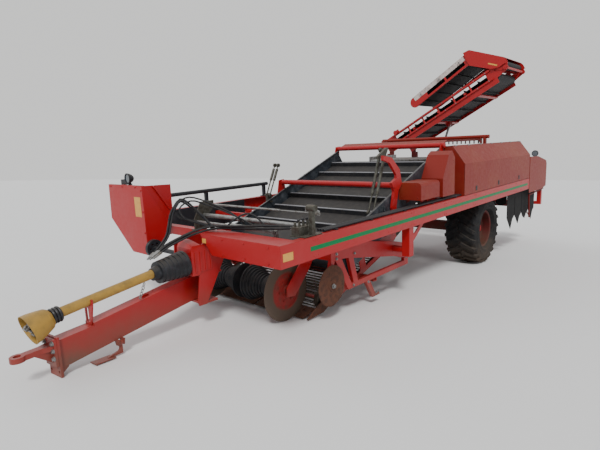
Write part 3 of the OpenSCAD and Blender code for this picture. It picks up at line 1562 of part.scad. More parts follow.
module outer_trough() {
  color(red) on_outer() {
    for (x = [out_sheet_x, -el_w - el_sheet - out_sheet_x]) {
      plate_yz(x, x + el_sheet) difference() {
        union() {
          difference() {
            outer_face(out_half);
            for (u = [out_bend[0] + 90, out_bend[0] + 560]) {
              translate([u, out_bend[1] - 60]) square([430, 120]);
            }
          }
          capsule([0, 0], out_start, 45);
        }
        circle(d = knee_pin_d + fit_gap);
        for (at = [out_start, out_bend, out_tip]) {
          translate(at) circle(d = 30);
        }
      }
    }
    for (at = [out_start, out_bend, out_tip]) {
      round_x(-el_w - out_sheet_x - el_sheet + 1, out_sheet_x + el_sheet - 1, at, 40);
      for (x = [-el_w + 60, -110]) {
        round_x(x, x + 50, at, 2 * out_r - 0.6);
      }
    }
    for (x = [out_sheet_x + el_sheet - 2, -el_w - out_sheet_x - el_sheet - 26]) {
      block([x, out_bend[0] + 40, out_bend[1] + out_half - 34], [x + 28, out_tip[0] - 60,
        out_bend[1] + out_half]);
      difference() {
        round_x(x, x + 28, [0, 0], 84);
        round_x(x - 1, x + 29, [0, 0], knee_pin_d + fit_gap);
      }
      round_x(x, x + 28, out_bend, 80);
    }
    for (y = [out_bend[0] + 540, out_tip[0] - 240]) {
      block([-el_w - out_sheet_x - 1, y - 20, out_bend[1] - out_half], [out_sheet_x + 1, y + 20,
        out_bend[1] - out_half + 30]);
    }
  }
}

module outer_strip() {
  x = out_sheet_x + el_sheet + seat_gap;
  low = out_bend[1] - out_half;
  color(pale) on_outer() for (side = [x, -el_w - x - 4]) {
    block([side, out_bend[0] + 45, low], [side + 4, out_tip[0] - 20, low + 96]);
    for (y = [out_bend[0] + 160, out_bend[0] + 640, out_tip[0] - 200]) {
      round_x(side > 0 ? side + 3 : side - 21, side > 0 ? side + 25 : side + 1, [y, low + 60], 62);
    }
  }
}

module outer_belt() {
  color(black) on_outer() plate_yz(-el_w + 20, -20) {
    difference() {
      outer_face(out_r + belt_t);
      outer_face(out_r);
    }
    for (i = [0:4], side = [-1, 1]) {
      translate([out_bend[0] + 60 + i * 270,
        side > 0 ? out_bend[1] + out_r + belt_t - 1 : out_bend[1] - out_r - belt_t - 19])
        square([12, 20]);
    }
  }
}

module knee_hood() {
  side_x = out_sheet_x + el_sheet + 27 + seat_gap;
  face = [[472, -735], [353, -704], [-65, -170], [-70, -30], [-20, -62], [90, -70], [213, -130], [500, -460]];
  color(red) on_outer() {
    for (x = [side_x, -el_w - side_x - 5]) {
      plate_yz(x, x + 5) polygon(face);
    }
    plate_yz(-el_w - side_x, side_x) polygon([[472, -735], [353, -704], [-65, -170], [-60, -166], [357,
      -698], [474, -728]]);
  }
}

module lift_cylinder() {
  color(black) park() difference() {
    union() {
      bar_between(cyl_at(80), cyl_at(cyl_body), cyl_d);
      bar_between(cyl_at(20), cyl_at(82), 50);
      bar_between(cyl_at(cyl_body - 30), cyl_at(cyl_body), cyl_d + 14);
      round_x(cyl_x - 30, cyl_x + 30, cyl_foot, 70);
      translate(cyl_at(120)) rotate([90, 0, 0]) cylinder(h = 62, d = 26);
    }
    round_x(cyl_x - 31, cyl_x + 31, cyl_foot, cyl_pin_d + fit_gap);
    bar_between(cyl_at(90), cyl_at(cyl_body + 1), cyl_rod_d + fit_gap);
  }
}

module lift_rod() {
  color(steel) park() difference() {
    union() {
      bar_between(cyl_at(140), cyl_at(norm(cyl_eye - cyl_foot)), cyl_rod_d);
      round_x(cyl_x - 26, cyl_x + 26, cyl_eye, 66);
    }
    round_x(cyl_x - 31, cyl_x + 31, cyl_eye, cyl_pin_d + eye_play);
  }
}

chassis_frame();
axle();
headstock();
front_panel();
side_stripes();
right_shield();
right_rail();
gearbox();
gearbox_guard();
conveyor_sides();
flight_belt();
cross_tubes();
tension_struts();
guard_boxes();
valve_stand();
guide_rods();
hose_bundle();
side_pipes();
second_web();
main_hood();
rear_panel();
work_lamps();
top_cover();
sorting_table();
rear_platform();
rear_flaps();
elevator_mount();
hood_door();
tyre_left();
rim_left();
tyre_right();
rim_right();
drawbar();
hitch_eye();
pto_shaft();
pto_guard();
pto_rear_cone();
pto_support();
parking_foot();
digger_frame();
shares();
digging_web();
coulter_left();
coulter_right();
guide_disc_left();
guide_disc_right();
ridge_roller_left();
ridge_roller_right();
elevator_trough();
elevator_belt();
lift_cylinder();
lift_rod();
outer_trough();
outer_strip();
outer_belt();
knee_hood();
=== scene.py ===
"""Looks of a towed two-row potato harvester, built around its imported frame."""

import json
import logging
import math
from dataclasses import dataclass, field, replace
from enum import Enum

import bmesh
import bpy
from mathutils import Matrix, Vector

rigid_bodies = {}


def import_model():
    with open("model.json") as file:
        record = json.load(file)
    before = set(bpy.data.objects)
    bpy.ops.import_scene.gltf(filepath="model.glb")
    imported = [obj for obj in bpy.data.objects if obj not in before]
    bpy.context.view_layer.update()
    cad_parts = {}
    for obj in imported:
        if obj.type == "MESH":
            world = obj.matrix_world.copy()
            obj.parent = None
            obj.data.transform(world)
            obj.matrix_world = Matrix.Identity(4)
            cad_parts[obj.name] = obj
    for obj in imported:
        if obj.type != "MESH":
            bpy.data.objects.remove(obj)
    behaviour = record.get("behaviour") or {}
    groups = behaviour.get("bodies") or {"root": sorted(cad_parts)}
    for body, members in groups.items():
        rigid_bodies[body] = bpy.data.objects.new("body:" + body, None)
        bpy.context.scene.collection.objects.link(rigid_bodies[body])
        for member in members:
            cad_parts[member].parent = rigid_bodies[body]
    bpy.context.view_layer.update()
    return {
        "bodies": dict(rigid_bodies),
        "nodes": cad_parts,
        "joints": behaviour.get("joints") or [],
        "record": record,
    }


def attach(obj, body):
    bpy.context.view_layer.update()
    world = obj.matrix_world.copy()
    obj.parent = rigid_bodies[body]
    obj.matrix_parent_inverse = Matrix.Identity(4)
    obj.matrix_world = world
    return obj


LOG = logging.getLogger("harvester")
Point = tuple[float, float, float]


def linear(colour: str) -> tuple[float, float, float, float]:
    """Turns an sRGB hex colour into linear light.

    Args:
        colour: Six hex digits after a hash sign.

    Returns:
        Red, green, blue and an alpha of one.
    """
    parts = [int(colour[i:i + 2], 16) / 255 for i in (1, 3, 5)]
    red, green, blue = [p / 12.92 if p <= 0.04045 else ((p + 0.055) / 1.055) ** 2.4 for p in parts]
    return red, green, blue, 1.0


def add_node(tree: bpy.types.NodeTree, kind: str, links: dict | None = None, **settings) -> bpy.types.Node:
    """Adds one shader node with its settings and the links into it.

    Args:
        tree: The material's node tree.
        kind: The node's type name after "ShaderNode".
        links: Input name or number to the socket that feeds it.
        **settings: Attributes of the node, or values of its inputs by name.

    Returns:
        The new node.
    """
    node = tree.nodes.new("ShaderNode" + kind)
    for name, value in settings.items():
        label = name.replace("_", " ").title()
        if label in node.inputs:
            node.inputs[label].default_value = value
        else:
            setattr(node, name, value)
    for name, socket in (links or {}).items():
        tree.links.new(socket, node.inputs[name])
    return node


class Slot(Enum):
    """Finishes that the record names."""

    RED = "red_paint"
    DARK_RED = "dark_red_paint"
    GREEN = "green_stripe"
    BLACK = "black_paint"
    SHEET = "sheet_steel"
    STEEL = "bare_steel"
    RUST = "rusty_steel"
    BELT = "belt_rubber"
    TYRE = "tyre_rubber"
    YELLOW = "yellow_plastic"
    PALE = "pale_plastic"
    LAMP = "lamp_plastic"


@dataclass(frozen=True)
class Finish:
    """A surface, by what it is made of and how it was made.

    Args:
        name: The material's and its process's common name.
        base: Main colour.
        worn: Colour of the patches that sun, soil or wear changed.
        edge: Colour that shows where an edge is worn.
        dust: Colour of what lies on faces that look upward.
        patch_mm: Width of a patch.
        grain_mm: Width of the finest relief.
        relief_mm: Depth of the finest relief.
        roughness: Lowest and highest roughness.
        metallic: One for bare metal.
        wear: Share of the surface that the patches take.
        edge_wear: How far the edge colour shows, up to one.
        dusting: How much dust lies on upward faces.
        soil_m: Height under which dried soil sticks to it.
        coat: Weight of a clear gloss over the colour.
        edge_mm: Reach of a worn edge.
        soil: Colour of the dried soil.
        sheen: How strongly a painted surface mirrors, one half being the usual.
        rim_m: Radius beyond which a disc is rubbed bare, or zero.
        centre: Middle of that disc in the node's own axes.
    """

    name: str
    base: str
    worn: str
    edge: str = "#8c8078"
    dust: str = "#8d8273"
    patch_mm: float = 180.0
    grain_mm: float = 3.0
    relief_mm: float = 0.1
    roughness: tuple[float, float] = (0.35, 0.5)
    metallic: float = 0.0
    wear: float = 0.35
    edge_wear: float = 0.5
    dusting: float = 0.15
    soil_m: float = 0.0
    coat: float = 0.0
    edge_mm: float = 4.0
    soil: str = "#5c4a3a"
    sheen: float = 0.35
    rim_m: float = 0.0
    centre: Point = (0.0, 0.0, 0.0)

    def material(self) -> bpy.types.Material:
        """Builds the node material.

        Returns:
            The material, with its patches, worn edges, dust, soil and relief.
        """
        made = bpy.data.materials.new(self.name)
        made.use_nodes = True
        tree = made.node_tree
        tree.nodes.clear()
        place = add_node(tree, "TexCoord").outputs["Object"]
        patches = add_node(tree, "TexNoise", {"Vector": place}, scale=1000 / self.patch_mm,
                           detail=6.0, roughness=0.62).outputs["Fac"]
        fine = add_node(tree, "TexNoise", {"Vector": place}, scale=9000 / self.patch_mm,
                        detail=8.0, roughness=0.7).outputs["Fac"]
        middle = 0.72 - 0.4 * self.wear
        mask = add_node(tree, "MapRange", {"Value": patches}, from_min=middle - 0.1,
                        from_max=middle + 0.14).outputs["Result"]
        colour = self.blend(tree, mask, None, self.base, self.worn)
        if self.rim_m > 0:
            colour = self.blend(tree, self.bare_rim(tree, place, fine), colour, None, self.edge)
        rounded = add_node(tree, "Bevel", samples=4, radius=self.edge_mm / 1000).outputs["Normal"]
        flat = add_node(tree, "NewGeometry").outputs["Normal"]
        turn = add_node(tree, "VectorMath", {0: rounded, 1: flat}, operation="DOT_PRODUCT").outputs["Value"]
        corner = add_node(tree, "MapRange", {"Value": turn}, from_min=0.97, from_max=0.75,
                          to_max=self.edge_wear).outputs["Result"]
        broken = add_node(tree, "MapRange", {"Value": fine}, from_min=0.42, from_max=0.6).outputs["Result"]
        rubbed = add_node(tree, "Math", {0: corner, 1: broken}, operation="MULTIPLY").outputs[0]
        colour = self.blend(tree, rubbed, colour, None, self.edge)
        upward = add_node(tree, "SeparateXYZ", {0: flat}).outputs["Z"]
        settled = add_node(tree, "MapRange", {"Value": upward}, from_min=0.35, from_max=1.0,
                           to_max=self.dusting * 2).outputs["Result"]
        film = add_node(tree, "Math", {0: settled, 1: fine}, operation="MULTIPLY",
                        use_clamp=True).outputs[0]
        colour = self.blend(tree, film, colour, None, self.dust)
        if self.soil_m > 0:
            height = add_node(tree, "SeparateXYZ", {0: place}).outputs["Z"]
            near = add_node(tree, "MapRange", {"Value": height}, from_min=self.soil_m,
                            from_max=self.soil_m * 0.25, to_max=1.3).outputs["Result"]
            stuck = add_node(tree, "Math", {0: near, 1: patches}, operation="MULTIPLY",
                             use_clamp=True).outputs[0]
            colour = self.blend(tree, stuck, colour, None, self.soil)
        gloss = add_node(tree, "MapRange", {"Value": fine}, from_min=0.3, from_max=0.7,
                         to_min=self.roughness[0], to_max=self.roughness[1]).outputs["Result"]
        grain = add_node(tree, "TexNoise", {"Vector": place}, scale=1000 / self.grain_mm,
                         detail=2.0).outputs["Fac"]
        relief = add_node(tree, "Bump", {"Height": grain, "Normal": rounded}, strength=0.5,
                          distance=self.relief_mm / 1000).outputs["Normal"]
        shader = add_node(tree, "BsdfPrincipled",
                          {"Base Color": colour, "Roughness": gloss, "Normal": relief},
                          metallic=self.metallic, coat_weight=self.coat, coat_roughness=0.2)
        if self.metallic == 0:
            shader.inputs["Specular IOR Level"].default_value = self.sheen
        add_node(tree, "OutputMaterial", {"Surface": shader.outputs[0]})
        return made

    def bare_rim(self, tree: bpy.types.NodeTree, place: bpy.types.NodeSocket,
                 fine: bpy.types.NodeSocket) -> bpy.types.NodeSocket:
        """Finds where soil has rubbed the rim of a disc bare.

        Args:
            tree: The material's node tree.
            place: Place in the node's own axes.
            fine: Noise that breaks the border up.

        Returns:
            One on the bare rim, falling to zero inside it.
        """
        from_middle = add_node(tree, "VectorMath", {0: place}, operation="SUBTRACT")
        from_middle.inputs[1].default_value = self.centre
        flat = add_node(tree, "VectorMath", {0: from_middle.outputs[0]}, operation="MULTIPLY")
        flat.inputs[1].default_value = (1.0, 0.0, 1.0)
        reach = add_node(tree, "VectorMath", {0: flat.outputs[0]}, operation="LENGTH").outputs["Value"]
        shift = add_node(tree, "Math", {0: fine}, operation="MULTIPLY")
        shift.inputs[1].default_value = self.rim_m * 0.35
        edge = add_node(tree, "Math", {0: reach, 1: shift.outputs[0]}, operation="ADD").outputs[0]
        return add_node(tree, "MapRange", {"Value": edge}, from_min=self.rim_m * 1.1,
                        from_max=self.rim_m * 1.22).outputs["Result"]

    def blend(self, tree: bpy.types.NodeTree, mask: bpy.types.NodeSocket, under: bpy.types.NodeSocket | None,
              under_hex: str | None, over_hex: str) -> bpy.types.NodeSocket:
        """Lays one colour over another where a mask says so.

        Args:
            tree: The material's node tree.
            mask: Where the upper colour shows.
            under: The lower colour, if it varies.
            under_hex: The lower colour, if it is even.
            over_hex: The upper colour.

        Returns:
            The mixed colour.
        """
        node = add_node(tree, "Mix", {"Factor": mask}, data_type="RGBA")
        if under is None:
            node.inputs["A"].default_value = linear(under_hex)
        else:
            tree.links.new(under, node.inputs["A"])
        node.inputs["B"].default_value = linear(over_hex)
        return node.outputs["Result"]


FINISHES: dict[Slot, Finish] = {
    # Sprayed alkyd enamel that has stood outdoors: deep crimson, chalky in the sun, with a soft gloss.
    Slot.RED: Finish("sprayed_enamel_on_steel", "#a81419", "#a8282a", edge="#6b3e33", dust="#9a6c62",
                     patch_mm=420,
                     coat=0.12, relief_mm=0.15, wear=0.28, dusting=0.1, soil_m=0.45),
    # The same enamel where soil and shade have kept it dull: a brown-red with earth on it.
    Slot.DARK_RED: Finish("soiled_enamel_on_steel", "#6a1416", "#56281f", edge="#5e4438", dust="#705749",
                          patch_mm=160,
                          roughness=(0.5, 0.75), wear=0.4, dusting=0.2, soil_m=0.9, sheen=0.25),
    # Cut vinyl film: an even green with a satin gloss.
    Slot.GREEN: Finish("cut_vinyl_film", "#007340", "#06784a", patch_mm=300, relief_mm=0.02, wear=0.3,
                       edge_wear=0.1,
                       dusting=0.0, sheen=0.2),
    # Brushed-on black enamel: grey with dust on top, worn pale at its corners.
    Slot.BLACK: Finish("brushed_black_enamel", "#1c1e23", "#2f3034", edge="#5d5a56", dust="#6d665c",
                       patch_mm=90,
                       roughness=(0.4, 0.65), wear=0.3),
    # Rolled sheet polished by soil: dark blue-grey with bare streaks and bright edges.
    Slot.SHEET: Finish("soil_polished_sheet", "#333940", "#5b6066", edge="#a7abaf", patch_mm=120, grain_mm=5,
                       metallic=0.35, roughness=(0.4, 0.62), wear=0.35, edge_wear=0.9, dusting=0.25),
    # Drawn and plated steel: grey metal with dull spots.
    Slot.STEEL: Finish("plated_drawn_steel", "#8e8f8f", "#645e56", edge="#b2b3b1", patch_mm=60, grain_mm=2,
                       metallic=0.8, roughness=(0.35, 0.6), wear=0.4, dusting=0.2, edge_mm=2.0),
    # Forged steel left to rust after work: dark red-brown, rough, darker in its pits.
    Slot.RUST: Finish("rusted_forged_steel", "#5e3826", "#40281e", edge="#7d6a5c", dust="#6e5644",
                      patch_mm=45,
                      grain_mm=2, relief_mm=0.5, roughness=(0.7, 0.9), metallic=0.2, wear=0.45, dusting=0.2,
                      edge_mm=2.0),
    # Cured conveyor rubber: matt black with dried soil in it.
    Slot.BELT: Finish("cured_conveyor_rubber", "#1f2024", "#343230", edge="#4d4b48", dust="#5e564c",
                      patch_mm=70,
                      grain_mm=4, relief_mm=0.4, roughness=(0.6, 0.85), wear=0.4, dusting=0.2),
    # Moulded tyre rubber: matt black, browner where it rolled through soil.
    Slot.TYRE: Finish("moulded_tyre_rubber", "#18181a", "#2f2b27", edge="#433f39", patch_mm=80, grain_mm=3,
                      relief_mm=0.4, roughness=(0.7, 0.9), wear=0.35, dusting=0.15, soil_m=0.45,
                      soil="#4a3d31"),
    # Moulded polyethylene, bleached by the sun: dull ochre yellow.
    Slot.YELLOW: Finish("moulded_polyethylene_ochre", "#a8833a", "#7d6534", edge="#bfa363", dust="#8f774c",
                        patch_mm=110, roughness=(0.45, 0.6), wear=0.45, dusting=0.2),
    # Pressed pale plastic strip: warm grey-white with grey smears.
    Slot.PALE: Finish("pressed_pale_plastic", "#cfc3bd", "#998f8a", edge="#ddd6d0", patch_mm=120,
                      roughness=(0.4, 0.6), wear=0.4),
    # Moulded black polypropylene: deep grey with a dull sheen.
    Slot.LAMP: Finish("moulded_black_polypropylene", "#1b1c20", "#33353a", edge="#505357", patch_mm=70,
                      roughness=(0.35, 0.55), wear=0.3, edge_mm=2.0),
}
# The same enamel on sheets that face the sky: turned brick-red and chalky by the sun, and darkened further as
# painted shade over the hood, door, guard boxes and covers.
FADED_WITH_PAINTED_SHADE = Finish("sun_chalked_enamel_with_painted_shade", "#7e1f15", "#83301d", edge="#633729", dust="#8a604f", patch_mm=520,
               roughness=(0.42, 0.6), coat=0.08, wear=0.45, dusting=0.12, sheen=0.25)
# Worn wheel enamel: brown-red with rust coming through and soil in its corners.
WHEEL = Finish("worn_wheel_enamel", "#571a18", "#41261e", edge="#6b4a38", dust="#5e4d40", patch_mm=120,
               roughness=(0.5, 0.75), wear=0.45, dusting=0.2, soil_m=0.6)
# Enamelled disc that soil has rubbed: red in its middle, brown-grey bare steel towards its rim.
DISC = Finish("soil_rubbed_disc_enamel", "#8f2420", "#6b332a", edge="#57493d", dust="#6b5645", patch_mm=70,
              grain_mm=2, relief_mm=0.3, roughness=(0.5, 0.75), wear=0.4, edge_wear=0.3, rim_m=0.2)
# Steel that works in the soil: dull grey-brown with earth dried on it.
SOILED = Finish("earth_caked_steel", "#4a4239", "#332a22", edge="#7d7466", dust="#5e4f40", patch_mm=50,
                grain_mm=3,
                relief_mm=0.5, metallic=0.4, roughness=(0.55, 0.8), wear=0.5, dusting=0.3, edge_mm=2.0)
# Old dulled zinc plating: grey-green metal with brown spots, its tone darkened further as painted shade.
DULLED_WITH_PAINTED_SHADE = Finish("dulled_zinc_plating_with_painted_shade", "#575750", "#403b33", edge="#85837b", patch_mm=40, grain_mm=2,
                metallic=0.7,
                roughness=(0.45, 0.7), wear=0.5, dusting=0.3, edge_mm=2.0)
# Cast lens plastic: dark from outside, smooth and glossy.
LENS = Finish("cast_clear_lens", "#39424b", "#2c333a", patch_mm=30, roughness=(0.06, 0.12), relief_mm=0.3,
              grain_mm=6, coat=1.0, dusting=0.05, sheen=0.6)
# Cut rubber sheet hung in the shade of the platform: nearly black, with a little dried soil.
FLAP = Finish("cut_rubber_sheet", "#141416", "#211f1d", edge="#34322f", dust="#3a342e", patch_mm=90,
              grain_mm=4, relief_mm=0.3, roughness=(0.65, 0.85), wear=0.4, dusting=0.1, sheen=0.2)
# Printed film with nothing on it: orange-yellow that the sun has paled.
FILM = Finish("blank_orange_film", "#d9a24e", "#cf8a3c", patch_mm=60, relief_mm=0.02, edge_wear=0.1,
              dusting=0.05)
# Polished wear strip on a flight: pale grey where crops and soil have rubbed it.
POLISHED = Finish("rubbed_grey_rubber", "#84868b", "#63656a", edge="#a2a4a7", patch_mm=140, relief_mm=0.2,
                  roughness=(0.35, 0.55), wear=0.4)
NODE_FINISHES: dict[str, Finish] = {
    "rear_flaps": FLAP,
    # The hood, door, guard boxes, top cover and rear panel take the sun-chalked enamel darkened as painted
    # shade.
    "main_hood": FADED_WITH_PAINTED_SHADE, "hood_door": FADED_WITH_PAINTED_SHADE, "guard_boxes": FADED_WITH_PAINTED_SHADE, "top_cover": FADED_WITH_PAINTED_SHADE, "rear_panel": FADED_WITH_PAINTED_SHADE,
    # The valve stand and tension struts take the zinc darkened as painted shade.
    "rim_left": WHEEL, "rim_right": WHEEL, "digging_web": SOILED, "second_web": SOILED, "valve_stand": DULLED_WITH_PAINTED_SHADE,
    "tension_struts": DULLED_WITH_PAINTED_SHADE, "coulter_left": DISC, "coulter_right": DISC,
}


@dataclass
class Frame:
    """The parked machine's own axes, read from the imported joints.

    Args:
        joints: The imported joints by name.
        tilt: How far the machine is parked nose-down, in radians.
        level: Axes in which it stands level.
    """

    loaded: dict
    joints: dict = field(init=False)
    tilt: float = field(init=False)
    level: Matrix = field(init=False)

    def __post_init__(self) -> None:
        """Works out the machine's level frame from the axle and the elevator's hinge."""
        self.joints = {joint["name"]: joint for joint in self.loaded["joints"]}
        axle = Vector(self.joints["wheel_left_spin"]["pos_m"])
        along = self.joints["elevator_lift"]["axis"]
        self.tilt = math.atan2(-along[2], along[0])
        self.level = (Matrix.Translation((axle.x, 0, axle.z)) @ Matrix.Rotation(self.tilt, 4, "Y")
                      @ Matrix.Translation((0, 0, -axle.z)))

    @property
    def axle_height(self) -> float:
        """Gives the height of the wheels' axis."""
        return self.joints["wheel_left_spin"]["pos_m"][2]

    def drawbar(self) -> Matrix:
        """Gives the drawbar's own axes, whose X runs from its pin to the hitch eye."""
        back = self.level.inverted()
        pin = back @ Vector(self.joints["drawbar_steer"]["pos_m"])
        eye = back @ Vector(self.loaded["record"]["mounts"][0]["pos_m"])
        swing = math.atan2(eye.y - pin.y, eye.x - pin.x)
        return self.level @ Matrix.Translation((pin.x, pin.y, 0)) @ Matrix.Rotation(swing, 4, "Z")

    def elevator(self, joint: str, front_x: float, slope: float) -> Matrix:
        """Gives the axes of one elevator section, whose Y runs along its trough.

        Args:
            joint: The hinge at its lower end.
            front_x: Place of its front side along the machine.
            slope: Its slope in degrees.

        Returns:
            The section's axes in the frame.
        """
        foot = self.level.inverted() @ Vector(self.joints[joint]["pos_m"])
        return (self.level @ Matrix.Translation((front_x, foot.y, foot.z))
                @ Matrix.Rotation(math.radians(slope), 4, "X"))


class Maker:
    """Gathers simple solids into one mesh piece, in axes of its own."""

    def __init__(self, axes: Matrix) -> None:
        """Starts an empty mesh.

        Args:
            axes: Where the piece's own axes lie in the frame.
        """
        self.axes = axes
        self.mesh = bmesh.new()

    def box(self, low: Point, high: Point) -> None:
        """Adds a block between two corners."""
        size = Vector(high) - Vector(low)
        place = Matrix.Translation((Vector(high) + Vector(low)) / 2)
        bmesh.ops.create_cube(self.mesh, size=1, matrix=place @ Matrix.Diagonal((*size, 1)))

    def rod(self, start: Point, end: Point, radius: float, sides: int = 20, tip: float | None = None) -> None:
        """Adds a straight rod or cone.

        Args:
            start: Middle of its first face.
            end: Middle of its last face.
            radius: Its radius at the start.
            sides: Number of its flat sides.
            tip: Its radius at the end, if it tapers.
        """
        run = Vector(end) - Vector(start)
        turn = run.to_track_quat("Z", "Y").to_matrix().to_4x4()
        place = Matrix.Translation((Vector(start) + Vector(end)) / 2) @ turn
        bmesh.ops.create_cone(self.mesh, cap_ends=True, segments=sides, radius1=radius,
                              radius2=radius if tip is None else tip, depth=run.length, matrix=place)

    def ball(self, centre: Point, radius: float) -> None:
        """Adds a small ball."""
        bmesh.ops.create_uvsphere(self.mesh, u_segments=16, v_segments=10, radius=radius,
                                  matrix=Matrix.Translation(centre))

    def bolt(self, at: Point, way: Point, across: float = 0.018) -> None:
        """Adds a hexagon head on a round washer.

        Args:
            at: Point on the face that it sits on.
            way: Direction that the head looks.
            across: Width of the head.
        """
        out = Vector(way).normalized()
        self.rod(at, Vector(at) + out * across * 0.14, across * 0.72, 18)
        self.rod(Vector(at) + out * across * 0.12, Vector(at) + out * across * 0.6, across * 0.55, 6)

    def dome(self, at: Point, way: Point, across: float = 0.02, proud: float = 0.0035) -> None:
        """Adds a low round head.

        Args:
            at: Point on the face that it sits on.
            way: Direction that the head looks.
            across: Its width.
            proud: How far it stands off the face.
        """
        out = Vector(way).normalized()
        self.rod(Vector(at) - out * 0.001, Vector(at) + out * proud * 0.55, across / 2, 16, across * 0.42)
        self.rod(Vector(at) + out * proud * 0.5, Vector(at) + out * proud, across * 0.42, 16, across * 0.2)

    def ring(self, centre: Point, way: Point, radius: float, thick: float, tall: float | None = None,
             sides: int = 64) -> None:
        """Adds a ring.

        Args:
            centre: Its middle.
            way: Its axis.
            radius: Radius of its round middle line.
            thick: Radius of its section.
            tall: Half length of a link's straight stretch, if it is a link.
            sides: Steps around the ring.
        """
        turn = Vector(way).normalized().to_track_quat("Z", "Y").to_matrix().to_4x4()
        place = Matrix.Translation(centre) @ turn
        steps = 8
        loops = []
        for i in range(sides):
            a = 2 * math.pi * i / sides
            shift = 0.0
            if tall is not None and abs(math.sin(a)) > 1e-6:
                shift = math.copysign(tall, math.sin(a))
            loop = []
            for k in range(steps):
                b = 2 * math.pi * k / steps
                reach = radius + thick * math.cos(b)
                point = Vector((reach * math.cos(a), reach * math.sin(a) + shift, thick * math.sin(b)))
                loop.append(self.mesh.verts.new(place @ point))
            loops.append(loop)
        for i in range(sides):
            here, there = loops[i], loops[(i + 1) % sides]
            for k in range(steps):
                self.mesh.faces.new((here[k], there[k], there[(k + 1) % steps], here[(k + 1) % steps]))

    def piece(self, name: str, body: str, finish: bpy.types.Material) -> bpy.types.Object:
        """Closes the mesh and hangs the piece on a body.

        Args:
            name: The piece's name.
            body: The body that carries it.
            finish: Its material.

        Returns:
            The new object.
        """
        bmesh.ops.recalc_face_normals(self.mesh, faces=self.mesh.faces)
        bmesh.ops.transform(self.mesh, matrix=self.axes, verts=self.mesh.verts)
        data = bpy.data.meshes.new(name)
        self.mesh.to_mesh(data)
        self.mesh.free()
        data.polygons.foreach_set("use_smooth", [True] * len(data.polygons))
        data.set_sharp_from_angle(angle=math.radians(35))
        data.materials.append(finish)
        made = bpy.data.objects.new(name, data)
        bpy.context.scene.collection.objects.link(made)
        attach(made, body)
        LOG.info("%s rides on %s with %d faces", name, body, len(data.polygons))
        return made


@dataclass
class Paintwork:
    """The materials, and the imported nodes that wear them.

    Args:
        made: Each finish's material, once it has been used.
    """

    made: dict[Finish, bpy.types.Material] = field(default_factory=dict)

    def of(self, finish: Finish | Slot) -> bpy.types.Material:
        """Gives a finish's material, made at its first use.

        Args:
            finish: A finish, or the slot that it stands for.

        Returns:
            The material.
        """
        wanted = FINISHES[finish] if isinstance(finish, Slot) else finish
        if wanted not in self.made:
            self.made[wanted] = wanted.material()
        return self.made[wanted]

    def dress(self, loaded: dict) -> None:
        """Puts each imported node's finish on it.
        """
        for part in loaded["record"]["subparts"]:
            node = loaded["nodes"][part["node"]]
            finish = NODE_FINISHES.get(part["node"], Slot(part["material_slot"]))
            if finish is DISC:
                hub = next(j["pos_m"] for j in loaded["joints"] if j["name"] == part["node"] + "_spin")
                finish = replace(DISC, centre=tuple(node.matrix_world.inverted() @ Vector(hub)))
            for place in range(max(1, len(node.data.materials))):
                if node.data.materials:
                    node.data.materials[place] = self.of(finish)
                else:
                    node.data.materials.append(self.of(finish))


